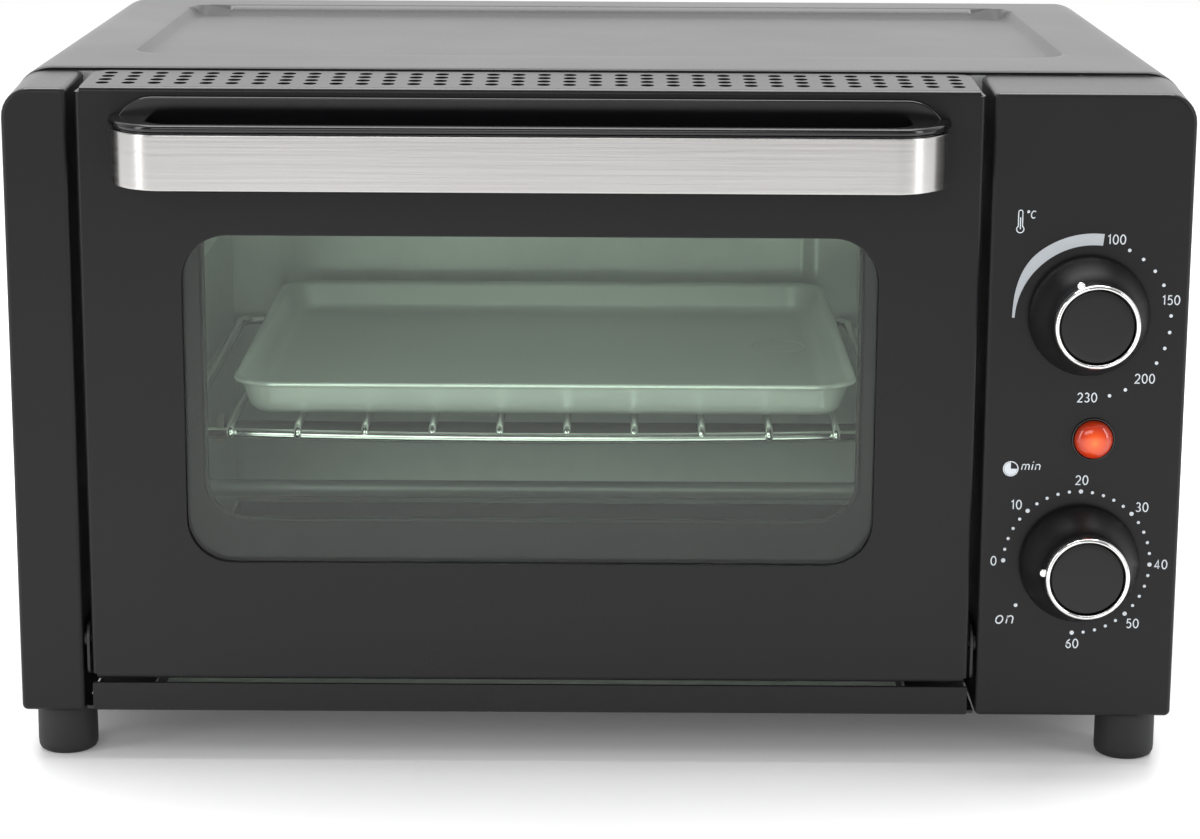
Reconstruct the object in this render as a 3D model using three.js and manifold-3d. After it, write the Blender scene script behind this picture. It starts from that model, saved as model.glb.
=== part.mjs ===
// Table-top toaster oven: drop-down door with a glass window, two rotary controls and a
// pilot light, a rack, a baking pan and a slide-out crumb tray.
// Millimetres. X is to the right of someone facing the oven, Y is from front to back,
// Z is up. The origin is on the table, under the middle of the whole outline.
import * as THREE from 'three';
import { mergeVertices } from 'three/addons/utils/BufferGeometryUtils.js';
import Module from 'manifold-3d';

const wasm = await Module();
wasm.setup();

// ---- driving dimensions --------------------------------------------------------------
const BODY_WIDTH = 364; // outer shell
const BODY_HEIGHT = 198.3; // from the base panel to the shell top
const BODY_DEPTH = 250; // bezel front face to the back edge of the shell
const FIT_GAP = 0.3; // air between pieces that touch
const SHEET = 1.0; // body sheet steel
const LINER_SHEET = 0.8; // cavity and inner-door sheet
const FOOT_HEIGHT = 16;
const FOOT_RADIUS = 9.4;
const FOOT_INSET_X = 12; // foot centre from the side of the bezel
const FOOT_INSET_FRONT = 13.5;
const FOOT_INSET_BACK = 18;
const REAR_GLAND = 3; // the cord bushing stands this far behind the shell
// bezel: left pillar and control panel
const BEZEL_STEP = 2; // the shell stands this far outside the bezel, each side
const BEZEL_DROP = 2.5; // and this far above it at the front
const BEZEL_DEPTH = 33.4;
const BEZEL_RADIUS = 9;
const BEZEL_WALL = 1.6;
const BEZEL_RISE = 1.3; // the bezel top rises and widens by this much towards the shell
const PILLAR_WIDTH = 19.8;
const PANEL_WIDTH = 61.3; // control panel
// shell
const SHELL_RADIUS = 12;
const RECESS_SIDE_MARGIN = 31;
const RECESS_FRONT_MARGIN = 37;
const RECESS_BACK_MARGIN = 20;
const RECESS_DEPTH = 3;
const RECESS_DRAFT = 3; // the recess is this much smaller at its floor
const RECESS_RADIUS = 14;
const VENT_LENGTH = 34;
const VENT_WIDTH = 3;
const VENT_PITCH = 9;
const VENT_COUNT = 8;
const VENT_MARGIN = 15; // highest vent below the start of the lid's round edge
// door
const DOOR_GAP = 2.5; // between the door and the bezel, each side
const DOOR_LIFT = 10.6; // door bottom above the underside of the body
const DOOR_CROWN = 0.5; // door top above the bezel top
const DOOR_DEPTH = 31.5;
const DOOR_SKIN = 1.0;
const DOOR_BOTTOM_FLANGE = 7;
const DOOR_RISE = 1.2; // the top flange rises this much towards the back
const WINDOW_SIDE = 31; // door skin beside the window
const WINDOW_BELOW = 37.9; // door skin below the window
const WINDOW_ABOVE = 45.1; // door skin above the window
const WINDOW_RADIUS = 14;
const GLASS_THICKNESS = 3.5;
const GLASS_LAP = 8; // glass beyond the window edge
const CLIP_LAP = 5; // clip over the glass edge
const INNER_INSET = 2.3; // the inner opening is this much narrower than the window, each side
const INNER_BELOW = 43.9;
const INNER_ABOVE = 32.3;
const INNER_RADIUS = 12;
const INNER_LIP = 4.5;
// hinge
const HINGE_SETBACK = 4; // axis behind the door's front face
const HINGE_RISE = 12; // axis above the door's bottom edge
const PIN_RADIUS = 1.3;
const PIN_CLEARANCE = 0.25;
const EAR_SHEET = 0.8;
const EAR_GAP = 0.6; // between the ear and the side of the door
const EAR_NOSE = 5;
const EAR_BELOW = 11.1; // ear below the axis
const BRACKET_INSET = 1.4; // bracket from the side of the door
const BRACKET_HEIGHT = 40;
const BRACKET_DEPTH = 7;
const FLANGE_CLEAR = 2.4; // side flange above the ear
const FLANGE_SLANT = 7;
// handle
const HANDLE_SIDE = 11; // door beside the handle
const HANDLE_BELOW_TOP = 8.3; // grip below the door's top edge
const HANDLE_HEIGHT = 20;
const HANDLE_REACH = 25; // from the door's face to the band
const PLATE_ABOVE = 5.6; // back plate above the grip
const HANDLE_PLATE = 2;
const HANDLE_BAR = 10; // front-to-back thickness of the grip
const HANDLE_ARM = 12; // width of each arm
const HANDLE_END = 18; // length of the curved end
const BAND_SHEET = 0.7;
const BAND_HEIGHT = 16.6;
const BAND_MARGIN = 0.6; // grip below the band
const BAND_SETBACK = 9; // the band's ends stop this far in front of the door
const SCREW_RADIUS = 2;
const SCREW_HEAD_RADIUS = 3.6;
const SCREW_LENGTH = 12;
// controls
const KNOB_X = 30.7; // knob axis from the panel's left edge
const TEMPERATURE_BELOW = 67.7; // axis below the top of the bezel
const TIMER_ABOVE = 50; // axis above the underside of the body
const LAMP_X = 33.7;
const LAMP_ABOVE_TIMER = 39.3;
const LAMP_RADIUS = 6;
const LAMP_REACH = 4;
const KNOB_RADIUS = 18.5;
const KNOB_REACH = 20;
const KNOB_GAP = 0.8; // knob skirt off the panel
const RING_RADIUS = 13;
const RING_WALL = 1.6;
const RING_LENGTH = 4.2;
const SHAFT_RADIUS = 3;
const SHAFT_CLEARANCE = 0.4;
const POINTER_WIDTH = 3.2;
const POINTER_LENGTH = 2.4;
const POINTER_DEPTH = 4;
const TEMPERATURE_REST = -23; // pointer angle from straight up, clockwise, in degrees
const TIMER_REST = -84;
// cavity
const CAVITY_SIDE = 18.2; // door beyond the cavity, each side
const CAVITY_HEADROOM = 17.3; // shell top above the cavity
const CAVITY_REAR = 7; // shell behind the cavity
const MOUTH_LIFT = 30; // mouth above the underside of the body
const MOUTH_RADIUS = 6;
const LEDGE_WIDTH = 5;
const LEDGE_THICKNESS = 1.2;
const UPPER_LEDGE_DROP = 57; // below the cavity top
// heating rods
const HEATER_RADIUS = 3.25;
const HEATER_CLEARANCE = 0.4;
const CERAMIC_RADIUS = 5.5;
const CERAMIC_LENGTH = 8;
const HEATER_OVERHANG = 9;
const LOWER_HEATER_DROP = 30; // below the rack
const UPPER_HEATER_DROP = 16; // below the cavity top
const FRONT_HEATER = 62; // behind the cavity mouth
const REAR_HEATER = 58; // in front of the cavity back
// rack and pan
const RACK_LIFT = 78; // above the underside of the body
const RACK_FRAME_RADIUS = 1.75;
const RACK_WIRE_RADIUS = 1.25;
const WELD_DEPTH = 0.3; // crossing wires sink this far into each other
const RACK_WIRES = 10;
const RACK_END_SPACE = 0.6; // the end spaces are a little narrower than the others
const RACK_SIDE_GAP = 1.9;
const RACK_FRONT = 16; // behind the cavity mouth
const RACK_BACK = 4; // in front of the cavity back
const RACK_BOW = 5;
const PAN_SIDE = 15; // rack beyond the pan, each side
const PAN_SHIFT = 3.5; // pan centre to the right of the rack centre
const PAN_FRONT = 3; // behind the rack's front
const PAN_BACK = 3; // in front of the rack's back
const PAN_HEIGHT = 12;
const PAN_WALL = 1;
const PAN_RIM = 3;
const PAN_RADIUS = 14;
const PAN_DRAFT = 2.5;
// crumb tray
const TRAY_LIP_CLEARANCE = 1.3; // door bottom above the tray's lip
const TRAY_LIP_THICKNESS = 1.4;
const TRAY_WALL = 7.3;
const TRAY_SIDE_GAP = 1;
const TRAY_REAR = 18; // body behind the tray
// electrics
const SHIELD_GAP = 8; // heat shield left of the control panel
const THERMOSTAT_SIZE = [28, 22, 34];
const TIMER_SIZE = [40, 28, 40];
const TERMINAL_SIZE = [34, 16, 14];
const TERMINAL_REAR = 34;
const GLAND_INSET = 34; // gland axis left of the bezel's right edge
const GLAND_LIFT = 28; // gland axis above the underside of the body
const GLAND_RADIUS = 8;
const GLAND_NECK = 6.5;
const GLAND_BORE = 3.8;
const GLAND_LENGTH = 12;

// ---- places worked out from them -----------------------------------------------------
const TOTAL_DEPTH = HANDLE_REACH + BODY_DEPTH + REAR_GLAND;
const FRONT = HANDLE_REACH - TOTAL_DEPTH / 2; // bezel front face
const BACK = FRONT + BODY_DEPTH;
const BASE = FOOT_HEIGHT; // underside of the body
const BASE_TOP = BASE + SHEET;
const SHELL_TOP = BASE + BODY_HEIGHT;
const BEZEL_WIDTH = BODY_WIDTH - 2 * BEZEL_STEP;
const BEZEL_TOP = SHELL_TOP - BEZEL_DROP;
const BEZEL_BACK = FRONT + BEZEL_DEPTH;
const OPENING_LEFT = -BEZEL_WIDTH / 2 + PILLAR_WIDTH;
const PANEL_LEFT = BEZEL_WIDTH / 2 - PANEL_WIDTH;
const DOOR_LEFT = OPENING_LEFT + DOOR_GAP;
const DOOR_RIGHT = PANEL_LEFT - DOOR_GAP;
const DOOR_X = (DOOR_LEFT + DOOR_RIGHT) / 2;
const DOOR_BOTTOM = BASE + DOOR_LIFT;
const DOOR_TOP = BEZEL_TOP + DOOR_CROWN;
const DOOR_INNER = FRONT + DOOR_DEPTH - LINER_SHEET; // front face of the inner panel
const WINDOW_LEFT = DOOR_LEFT + WINDOW_SIDE;
const WINDOW_RIGHT = DOOR_RIGHT - WINDOW_SIDE;
const WINDOW_BOTTOM = DOOR_BOTTOM + WINDOW_BELOW;
const WINDOW_TOP = DOOR_TOP - WINDOW_ABOVE;
const GLASS_FRONT = FRONT + DOOR_SKIN + FIT_GAP;
const HINGE_Y = FRONT + HINGE_SETBACK;
const HINGE_Z = DOOR_BOTTOM + HINGE_RISE;
const FLANGE_BOTTOM = HINGE_Z + EAR_NOSE + FLANGE_CLEAR;
const HANDLE_LEFT = DOOR_LEFT + HANDLE_SIDE;
const HANDLE_RIGHT = DOOR_RIGHT - HANDLE_SIDE;
const HANDLE_TOP = DOOR_TOP - HANDLE_BELOW_TOP;
const HANDLE_BOTTOM = HANDLE_TOP - HANDLE_HEIGHT;
const SCREW_Z = (HANDLE_BOTTOM + HANDLE_TOP) / 2;
const FRAME_FRONT = BEZEL_BACK + FIT_GAP;
const MOUTH = FRAME_FRONT + SHEET; // plane of the cavity mouth
const CAVITY_FRONT = MOUTH + FIT_GAP;
const CAVITY_BACK = BACK - CAVITY_REAR;
const CAVITY_LEFT = DOOR_LEFT + CAVITY_SIDE;
const CAVITY_RIGHT = DOOR_RIGHT - CAVITY_SIDE;
const CAVITY_TOP = SHELL_TOP - CAVITY_HEADROOM;
const RACK_Z = BASE + RACK_LIFT;
const RACK_WIRE_Z = RACK_Z + RACK_FRAME_RADIUS + RACK_WIRE_RADIUS - WELD_DEPTH;
const LEDGE_TOPS = [RACK_Z - RACK_FRAME_RADIUS - FIT_GAP, CAVITY_TOP - UPPER_LEDGE_DROP];
const PAN_BOTTOM = RACK_WIRE_Z + RACK_WIRE_RADIUS + FIT_GAP;
const TRAY_FLOOR = BASE_TOP + FIT_GAP;
const KNOB_AXIS_X = PANEL_LEFT + KNOB_X;
const LAMP_AXIS_X = PANEL_LEFT + LAMP_X;
const TEMPERATURE_Z = BEZEL_TOP - TEMPERATURE_BELOW;
const TIMER_Z = BASE + TIMER_ABOVE;
const LAMP_Z = TIMER_Z + LAMP_ABOVE_TIMER;
const GLAND_X = BEZEL_WIDTH / 2 - GLAND_INSET;
const GLAND_Z = BASE + GLAND_LIFT;
const DEGREE = Math.PI / 180;

// ---- small tools ---------------------------------------------------------------------
function solidOf(geometry) {
  const bare = geometry.clone();
  bare.deleteAttribute('normal');
  bare.deleteAttribute('uv');
  const merged = mergeVertices(bare, 1e-4);
  const corner = merged.index.array;
  const kept = [];
  for (let i = 0; i < corner.length; i += 3) {
    const [a, b, c] = [corner[i], corner[i + 1], corner[i + 2]];
    if (a !== b && b !== c && c !== a) kept.push(a, b, c);
  }
  return new wasm.Manifold(new wasm.Mesh({
    numProp: 3,
    vertProperties: Float32Array.from(merged.attributes.position.array),
    triVerts: Uint32Array.from(kept),
  }));
}

function geometryOf(solid) {
  const mesh = solid.getMesh();
  const geometry = new THREE.BufferGeometry();
  geometry.setAttribute('position', new THREE.BufferAttribute(mesh.vertProperties, 3));
  geometry.setIndex(new THREE.BufferAttribute(mesh.triVerts, 1));
  geometry.computeVertexNormals();
  return geometry;
}

// A box between two corners.
function block(x0, x1, y0, y1, z0, z1) {
  const box = new THREE.BoxGeometry(x1 - x0, y1 - y0, z1 - z0);
  return box.translate((x0 + x1) / 2, (y0 + y1) / 2, (z0 + z1) / 2);
}

// Outline points of a polygon whose corners [x, y, radius] are rounded.
function rounded(corners, steps = 7) {
  const points = [];
  corners.forEach(([x, y, radius = 0], i) => {
    const here = new THREE.Vector2(x, y);
    if (radius === 0) {
      points.push(here);
      return;
    }
    const [bx, by] = corners.at(i - 1);
    const [ax, ay] = corners[(i + 1) % corners.length];
    const back = new THREE.Vector2(bx - x, by - y).normalize();
    const ahead = new THREE.Vector2(ax - x, ay - y).normalize();
    const half = Math.acos(back.dot(ahead)) / 2;
    const toCentre = back.clone().add(ahead).normalize().multiplyScalar(radius / Math.sin(half));
    const centre = here.clone().add(toCentre);
    const start = here.clone().addScaledVector(back, radius / Math.tan(half)).sub(centre);
    const end = here.clone().addScaledVector(ahead, radius / Math.tan(half)).sub(centre);
    const turn = Math.atan2(start.cross(end), start.dot(end));
    for (let k = 0; k <= steps; k++) {
      points.push(start.clone().rotateAround(new THREE.Vector2(), (turn * k) / steps).add(centre));
    }
  });
  return points;
}

function roundedBox(x0, x1, y0, y1, radius, steps) {
  return rounded([[x0, y0, radius], [x1, y0, radius], [x1, y1, radius], [x0, y1, radius]], steps);
}

// An outline in the X-Z plane, pulled from y0 back to y1.
function pullBack(points, y0, y1) {
  const shape = new THREE.Shape(points);
  const pulled = new THREE.ExtrudeGeometry(shape, { depth: y1 - y0, bevelEnabled: false });
  return pulled.rotateX(Math.PI / 2).translate(0, y1, 0);
}

// An outline in the X-Y plane, pulled up from z0 to z1.
function pullUp(points, z0, z1) {
  const shape = new THREE.Shape(points);
  return new THREE.ExtrudeGeometry(shape, { depth: z1 - z0, bevelEnabled: false }).translate(0, 0, z0);
}

// An outline in the Y-Z plane, pulled along X from x0 to x1.
function pullAcross(points, x0, x1) {
  const shape = new THREE.Shape(points);
  const pulled = new THREE.ExtrudeGeometry(shape, { depth: x1 - x0, bevelEnabled: false });
  return pulled.rotateY(Math.PI / 2).rotateX(Math.PI / 2).translate(x0, 0, 0);
}

// Moves every point of a geometry by a rule.
function reshape(geometry, rule) {
  const at = geometry.attributes.position;
  const point = new THREE.Vector3();
  for (let i = 0; i < at.count; i++) {
    point.fromBufferAttribute(at, i);
    rule(point);
    at.setXYZ(i, point.x, point.y, point.z);
  }
  return geometry;
}

// Cylinders along each axis, from their middle.
function rodX(radius, length, x, y, z, sides = 16) {
  const rod = new THREE.CylinderGeometry(radius, radius, length, sides);
  return rod.rotateZ(Math.PI / 2).translate(x, y, z);
}

function rodY(radius, length, x, y, z, sides = 16) {
  return new THREE.CylinderGeometry(radius, radius, length, sides).translate(x, y, z);
}

// A turned shape whose profile runs [radius, forward reach] and faces the user.
function turnedForward(profile, x, y, z, sides = 32) {
  const points = profile.map(([radius, reach]) => new THREE.Vector2(radius, reach));
  const turned = new THREE.LatheGeometry(points, sides);
  return turned.rotateX(Math.PI).translate(x, y, z);
}

function join(...geometries) {
  return geometries.map(solidOf).reduce((sum, next) => sum.add(next));
}

function cut(solid, ...geometries) {
  return geometries.map(solidOf).reduce((rest, tool) => rest.subtract(tool), solid);
}

// ---- materials -----------------------------------------------------------------------
function finish(color, roughness, metalness) {
  return new THREE.MeshStandardMaterial({ color, roughness, metalness });
}

const charcoalPaint = finish(0x3a383b, 0.42, 0.35);
const blackPlastic = finish(0x17171a, 0.3, 0.0);
const brushedSteel = finish(0xc4c1bb, 0.32, 1.0);
const chrome = finish(0xe2e2e0, 0.12, 1.0);
const zincSteel = finish(0xa9aca8, 0.45, 0.9);
const aluminium = finish(0xc9ccc7, 0.35, 0.95);
const tintedGlass = finish(0xa9bfae, 0.05, 0.0);
const ceramic = finish(0xe6e1d4, 0.6, 0.0);
const quartz = finish(0xd9d6cf, 0.3, 0.1);
const redLens = finish(0xd43a1e, 0.2, 0.0);
const phenolic = finish(0x2b2622, 0.6, 0.0);
const blackRubber = finish(0x141414, 0.75, 0.0);

const oven = new THREE.Group();

function add(name, shape, material) {
  const geometry = shape.isBufferGeometry ? shape : geometryOf(shape);
  const mesh = new THREE.Mesh(geometry, material);
  mesh.name = name;
  oven.add(mesh);
}

// ---- body ----------------------------------------------------------------------------
function shellOutline(inset) {
  const half = BODY_WIDTH / 2 - inset;
  const radius = SHELL_RADIUS - inset;
  const foot = BASE - (inset > 0 ? SHEET : 0);
  return rounded([[-half, foot], [half, foot], [half, SHELL_TOP - inset, radius],
    [-half, SHELL_TOP - inset, radius]]);
}

// The dished area of the lid, grown by the sheet thickness for its underside.
function lidRecess(grow) {
  const left = -BODY_WIDTH / 2 + RECESS_SIDE_MARGIN - grow;
  const front = FRONT + BEZEL_DEPTH + RECESS_FRONT_MARGIN - grow;
  const back = BACK - RECESS_BACK_MARGIN + grow;
  const points = roundedBox(left, -left, front, back, RECESS_RADIUS + grow);
  const floor = SHELL_TOP - RECESS_DEPTH - grow;
  const middle = (front + back) / 2;
  const dish = pullUp(points, floor, SHELL_TOP + SHEET);
  return reshape(dish, (p) => {
    if (p.z > floor + SHEET / 2) return;
    p.x *= 1 - RECESS_DRAFT / -left;
    p.y = middle + (p.y - middle) * (1 - RECESS_DRAFT / (back - middle));
  });
}

const VENT_TOP = SHELL_TOP - SHELL_RADIUS - VENT_MARGIN;

function sideVents() {
  const vents = [];
  const middleY = (FRONT + BACK) / 2;
  for (let i = 0; i < VENT_COUNT; i++) {
    const z = VENT_TOP - i * VENT_PITCH;
    for (const side of [-1, 1]) {
      const y = middleY + side * VENT_LENGTH * 0.62;
      vents.push(block(BODY_WIDTH / 2 - 2 * SHEET, BODY_WIDTH / 2 + SHEET,
        y - VENT_LENGTH / 2, y + VENT_LENGTH / 2, z - VENT_WIDTH, z));
    }
  }
  return vents;
}

function outerShell() {
  const front = BEZEL_BACK + FIT_GAP + 0.1;
  const outside = cut(solidOf(pullBack(shellOutline(0), front, BACK)), lidRecess(0));
  const hollow = pullBack(shellOutline(SHEET), front - SHEET, BACK + SHEET);
  const inside = cut(solidOf(hollow), lidRecess(SHEET));
  return cut(outside.subtract(inside), ...sideVents());
}

function insideOutline(gap, bottom) {
  const half = BODY_WIDTH / 2 - SHEET - gap;
  const top = SHELL_TOP - SHEET - gap;
  const radius = SHELL_RADIUS - SHEET - gap;
  return rounded([[-half, bottom], [half, bottom], [half, top, radius], [-half, top, radius]]);
}

function backPanel() {
  const back = BACK - SHEET;
  const plate = solidOf(pullBack(insideOutline(FIT_GAP, BASE_TOP + FIT_GAP), back - SHEET, back));
  const openings = [rodY(GLAND_NECK + FIT_GAP, 4 * SHEET, GLAND_X, back, GLAND_Z, 24)];
  for (let i = 0; i < VENT_COUNT; i++) {
    const z = VENT_TOP - i * VENT_PITCH;
    openings.push(block(GLAND_X - VENT_LENGTH / 2, GLAND_X + VENT_LENGTH / 2,
      back - 2 * SHEET, back + SHEET, z - VENT_WIDTH, z));
  }
  return cut(plate, ...openings);
}

function basePanel() {
  const half = BODY_WIDTH / 2 - SHEET - FIT_GAP;
  const behind = block(-half, half, BEZEL_BACK + FIT_GAP, BACK - SHEET / 2, BASE, BASE_TOP);
  const between = block(OPENING_LEFT + FIT_GAP, PANEL_LEFT - FIT_GAP,
    FRONT + TRAY_LIP_THICKNESS + SHEET, BEZEL_BACK + SHEET, BASE, BASE_TOP);
  return join(behind, between);
}

// Hollow bezel moulding: front wall, top, bottom and both sides, open at the back.
function bezelBox(x0, x1, outerSide) {
  const growth = (x1 - x0 + BEZEL_RISE) / (x1 - x0);
  const height = BEZEL_TOP - BASE;
  const heightGrowth = (height + BEZEL_RISE) / height;
  const fixedX = outerSide < 0 ? x1 : x0;
  const widen = (p) => {
    const share = (p.y - FRONT) / BEZEL_DEPTH;
    p.x = fixedX + (p.x - fixedX) * (1 + (growth - 1) * share);
    p.z = BASE + (p.z - BASE) * (1 + (heightGrowth - 1) * share);
  };
  const outline = (inset) => rounded([
    [x0 + inset, BASE + inset],
    [x1 - inset, BASE + inset],
    [x1 - inset, BEZEL_TOP - inset, outerSide > 0 ? BEZEL_RADIUS - inset : 0],
    [x0 + inset, BEZEL_TOP - inset, outerSide < 0 ? BEZEL_RADIUS - inset : 0]]);
  const outside = reshape(pullBack(outline(0), FRONT, BEZEL_BACK), widen);
  const inside = reshape(pullBack(outline(BEZEL_WALL), FRONT + BEZEL_WALL, BEZEL_BACK + SHEET), widen);
  return cut(solidOf(outside), inside);
}

function leftPillar() {
  return bezelBox(-BEZEL_WIDTH / 2, OPENING_LEFT, -1);
}

function controlPanel() {
  const shaftHole = SHAFT_RADIUS + SHAFT_CLEARANCE;
  const lampHole = LAMP_RADIUS - 1 + FIT_GAP;
  return cut(bezelBox(PANEL_LEFT, BEZEL_WIDTH / 2, 1),
    rodY(shaftHole, 4 * BEZEL_WALL, KNOB_AXIS_X, FRONT, TEMPERATURE_Z),
    rodY(shaftHole, 4 * BEZEL_WALL, KNOB_AXIS_X, FRONT, TIMER_Z),
    rodY(lampHole, 4 * BEZEL_WALL, LAMP_AXIS_X, FRONT, LAMP_Z, 24));
}

// Plate behind the bezel with the cavity mouth and the control opening.
function frontFrame() {
  const back = FRAME_FRONT + SHEET;
  const plate = solidOf(pullBack(insideOutline(FIT_GAP, BASE_TOP + FIT_GAP), FRAME_FRONT, back));
  const through = (points) => pullBack(points, FRAME_FRONT - SHEET, back + SHEET);
  const mouth = through(roundedBox(CAVITY_LEFT, CAVITY_RIGHT, BASE + MOUTH_LIFT, CAVITY_TOP,
    MOUTH_RADIUS));
  const traySlot = block(CAVITY_LEFT, CAVITY_RIGHT, FRAME_FRONT - SHEET, back + SHEET,
    BASE, DOOR_BOTTOM + FIT_GAP);
  const controls = through(roundedBox(PANEL_LEFT + 4, BEZEL_WIDTH / 2 - 4,
    BASE + 10, BEZEL_TOP - 12, MOUTH_RADIUS));
  return cut(plate, mouth, traySlot, controls);
}

function heatShield() {
  const x = PANEL_LEFT - SHIELD_GAP;
  return block(x, x + LINER_SHEET, CAVITY_FRONT + 4, CAVITY_BACK, BASE_TOP + FIT_GAP, CAVITY_TOP);
}

function foot(x, y) {
  const profile = [[0, BASE - FIT_GAP], [FOOT_RADIUS - 1, BASE - FIT_GAP],
    [FOOT_RADIUS, BASE - 2], [FOOT_RADIUS, 2.2], [FOOT_RADIUS - 0.8, 0.7],
    [FOOT_RADIUS - 2, 0], [0, 0]].reverse();
  const points = profile.map(([radius, z]) => new THREE.Vector2(radius, z));
  return new THREE.LatheGeometry(points, 24).rotateX(Math.PI / 2).translate(x, y, 0);
}

// ---- cavity --------------------------------------------------------------------------
const HEATERS = [
  ['lower_front', MOUTH + FRONT_HEATER, RACK_Z - LOWER_HEATER_DROP],
  ['lower_rear', CAVITY_BACK - REAR_HEATER, RACK_Z - LOWER_HEATER_DROP],
  ['upper_front', MOUTH + FRONT_HEATER, CAVITY_TOP - UPPER_HEATER_DROP],
  ['upper_rear', CAVITY_BACK - REAR_HEATER, CAVITY_TOP - UPPER_HEATER_DROP],
];

// Side wall with its two rack ledges and the four heater holes.
function cavityWall(side) {
  const inner = side < 0 ? CAVITY_LEFT : CAVITY_RIGHT;
  const outer = inner + side * LINER_SHEET;
  const ledgeEdge = inner - side * LEDGE_WIDTH;
  const between = (a, b, y0, y1, z0, z1) => block(Math.min(a, b), Math.max(a, b), y0, y1, z0, z1);
  const plate = between(inner, outer, CAVITY_FRONT, CAVITY_BACK, BASE_TOP + FIT_GAP, CAVITY_TOP);
  const ledges = LEDGE_TOPS.map((top) => between(ledgeEdge, outer,
    CAVITY_FRONT + LEDGE_WIDTH, CAVITY_BACK - LEDGE_WIDTH, top - LEDGE_THICKNESS, top));
  const holes = HEATERS.map(([, y, z]) => rodX(CERAMIC_RADIUS - 1.2 + FIT_GAP, 20, inner, y, z));
  return cut(join(plate, ...ledges), ...holes);
}

function cavityTop() {
  return block(CAVITY_LEFT - LINER_SHEET, CAVITY_RIGHT + LINER_SHEET, CAVITY_FRONT, CAVITY_BACK,
    CAVITY_TOP + FIT_GAP, CAVITY_TOP + FIT_GAP + LINER_SHEET);
}

function cavityBack() {
  return block(CAVITY_LEFT - LINER_SHEET, CAVITY_RIGHT + LINER_SHEET, CAVITY_BACK + FIT_GAP,
    CAVITY_BACK + FIT_GAP + LINER_SHEET, BASE_TOP + FIT_GAP, CAVITY_TOP + FIT_GAP);
}

function heater(y, z) {
  const length = CAVITY_RIGHT - CAVITY_LEFT + 2 * HEATER_OVERHANG;
  return rodX(HEATER_RADIUS, length, DOOR_X, y, z);
}

// Ceramic sleeve: a neck through the wall and a collar inside the cavity.
function ceramicSleeve(side, y, z) {
  const bore = HEATER_RADIUS + HEATER_CLEARANCE;
  const neck = CERAMIC_RADIUS - 1.2;
  const collar = 2.5;
  const profile = [[bore, -collar - FIT_GAP], [CERAMIC_RADIUS, -collar - FIT_GAP],
    [CERAMIC_RADIUS, -FIT_GAP], [neck, -FIT_GAP], [neck, CERAMIC_LENGTH - collar],
    [bore, CERAMIC_LENGTH - collar], [bore, -collar - FIT_GAP]];
  const points = profile.map(([radius, out]) => new THREE.Vector2(radius, out));
  const turned = new THREE.LatheGeometry(points, 16).rotateZ(side < 0 ? Math.PI / 2 : -Math.PI / 2);
  return turned.translate(side < 0 ? CAVITY_LEFT : CAVITY_RIGHT, y, z);
}

function wireRack() {
  const left = CAVITY_LEFT + RACK_SIDE_GAP + RACK_FRAME_RADIUS;
  const right = CAVITY_RIGHT - RACK_SIDE_GAP - RACK_FRAME_RADIUS;
  const front = MOUTH + RACK_FRONT;
  const back = CAVITY_BACK - RACK_BACK;
  const inset = 0.4; // side rods run this far past the rails' centres
  const section = new THREE.Shape(new THREE.Path().absarc(0, 0, RACK_FRAME_RADIUS, 0, 2 * Math.PI).getPoints(2));
  const bowed = new THREE.QuadraticBezierCurve3(new THREE.Vector3(left, front, RACK_Z),
    new THREE.Vector3(DOOR_X, front - 2 * RACK_BOW, RACK_Z), new THREE.Vector3(right, front, RACK_Z));
  const frontRail = new THREE.ExtrudeGeometry(section, { steps: 16, extrudePath: bowed, bevelEnabled: false });
  const backRail = rodX(RACK_FRAME_RADIUS, right - left, DOOR_X, back, RACK_Z, 8);
  const sideRods = [left, right].map((x) => rodY(RACK_FRAME_RADIUS, back - front + 2 * inset,
    x, (front + back) / 2, RACK_Z, 8));
  const wires = [];
  const pitch = (right - left) / (RACK_WIRES + RACK_END_SPACE);
  for (let i = 0; i < RACK_WIRES; i++) {
    const x = DOOR_X + (i - (RACK_WIRES - 1) / 2) * pitch;
    const start = front - RACK_BOW * 0.9 - 1.5;
    wires.push(rodY(RACK_WIRE_RADIUS, back + 1.5 - start, x, (back + 1.5 + start) / 2, RACK_WIRE_Z, 8));
  }
  return join(frontRail, backRail, ...sideRods, ...wires);
}

function bakingPan() {
  const x = DOOR_X + PAN_SHIFT;
  const width = CAVITY_RIGHT - CAVITY_LEFT - 2 * (RACK_SIDE_GAP + PAN_SIDE);
  const front = MOUTH + RACK_FRONT + PAN_FRONT;
  const back = CAVITY_BACK - RACK_BACK - PAN_BACK;
  const middle = (front + back) / 2;
  const top = PAN_BOTTOM + PAN_HEIGHT;
  const lapWidth = width / 2 - PAN_RIM;
  const lapLength = (back - front) / 2 - PAN_RIM;
  const well = (grow, floor, lid) => {
    const points = roundedBox(x - lapWidth - grow, x + lapWidth + grow,
      middle - lapLength - grow, middle + lapLength + grow, PAN_RADIUS - PAN_RIM + grow);
    return reshape(pullUp(points, floor, lid), (p) => {
      const narrow = (PAN_DRAFT * (top - p.z)) / PAN_HEIGHT;
      p.x = x + (p.x - x) * (1 - narrow / lapWidth);
      p.y = middle + (p.y - middle) * (1 - narrow / lapLength);
    });
  };
  const rim = pullUp(roundedBox(x - width / 2, x + width / 2, front, back, PAN_RADIUS),
    top - PAN_WALL, top);
  return cut(join(well(PAN_WALL, PAN_BOTTOM, top - PAN_WALL / 2), rim),
    well(0, PAN_BOTTOM + PAN_WALL, top + PAN_WALL));
}

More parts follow.
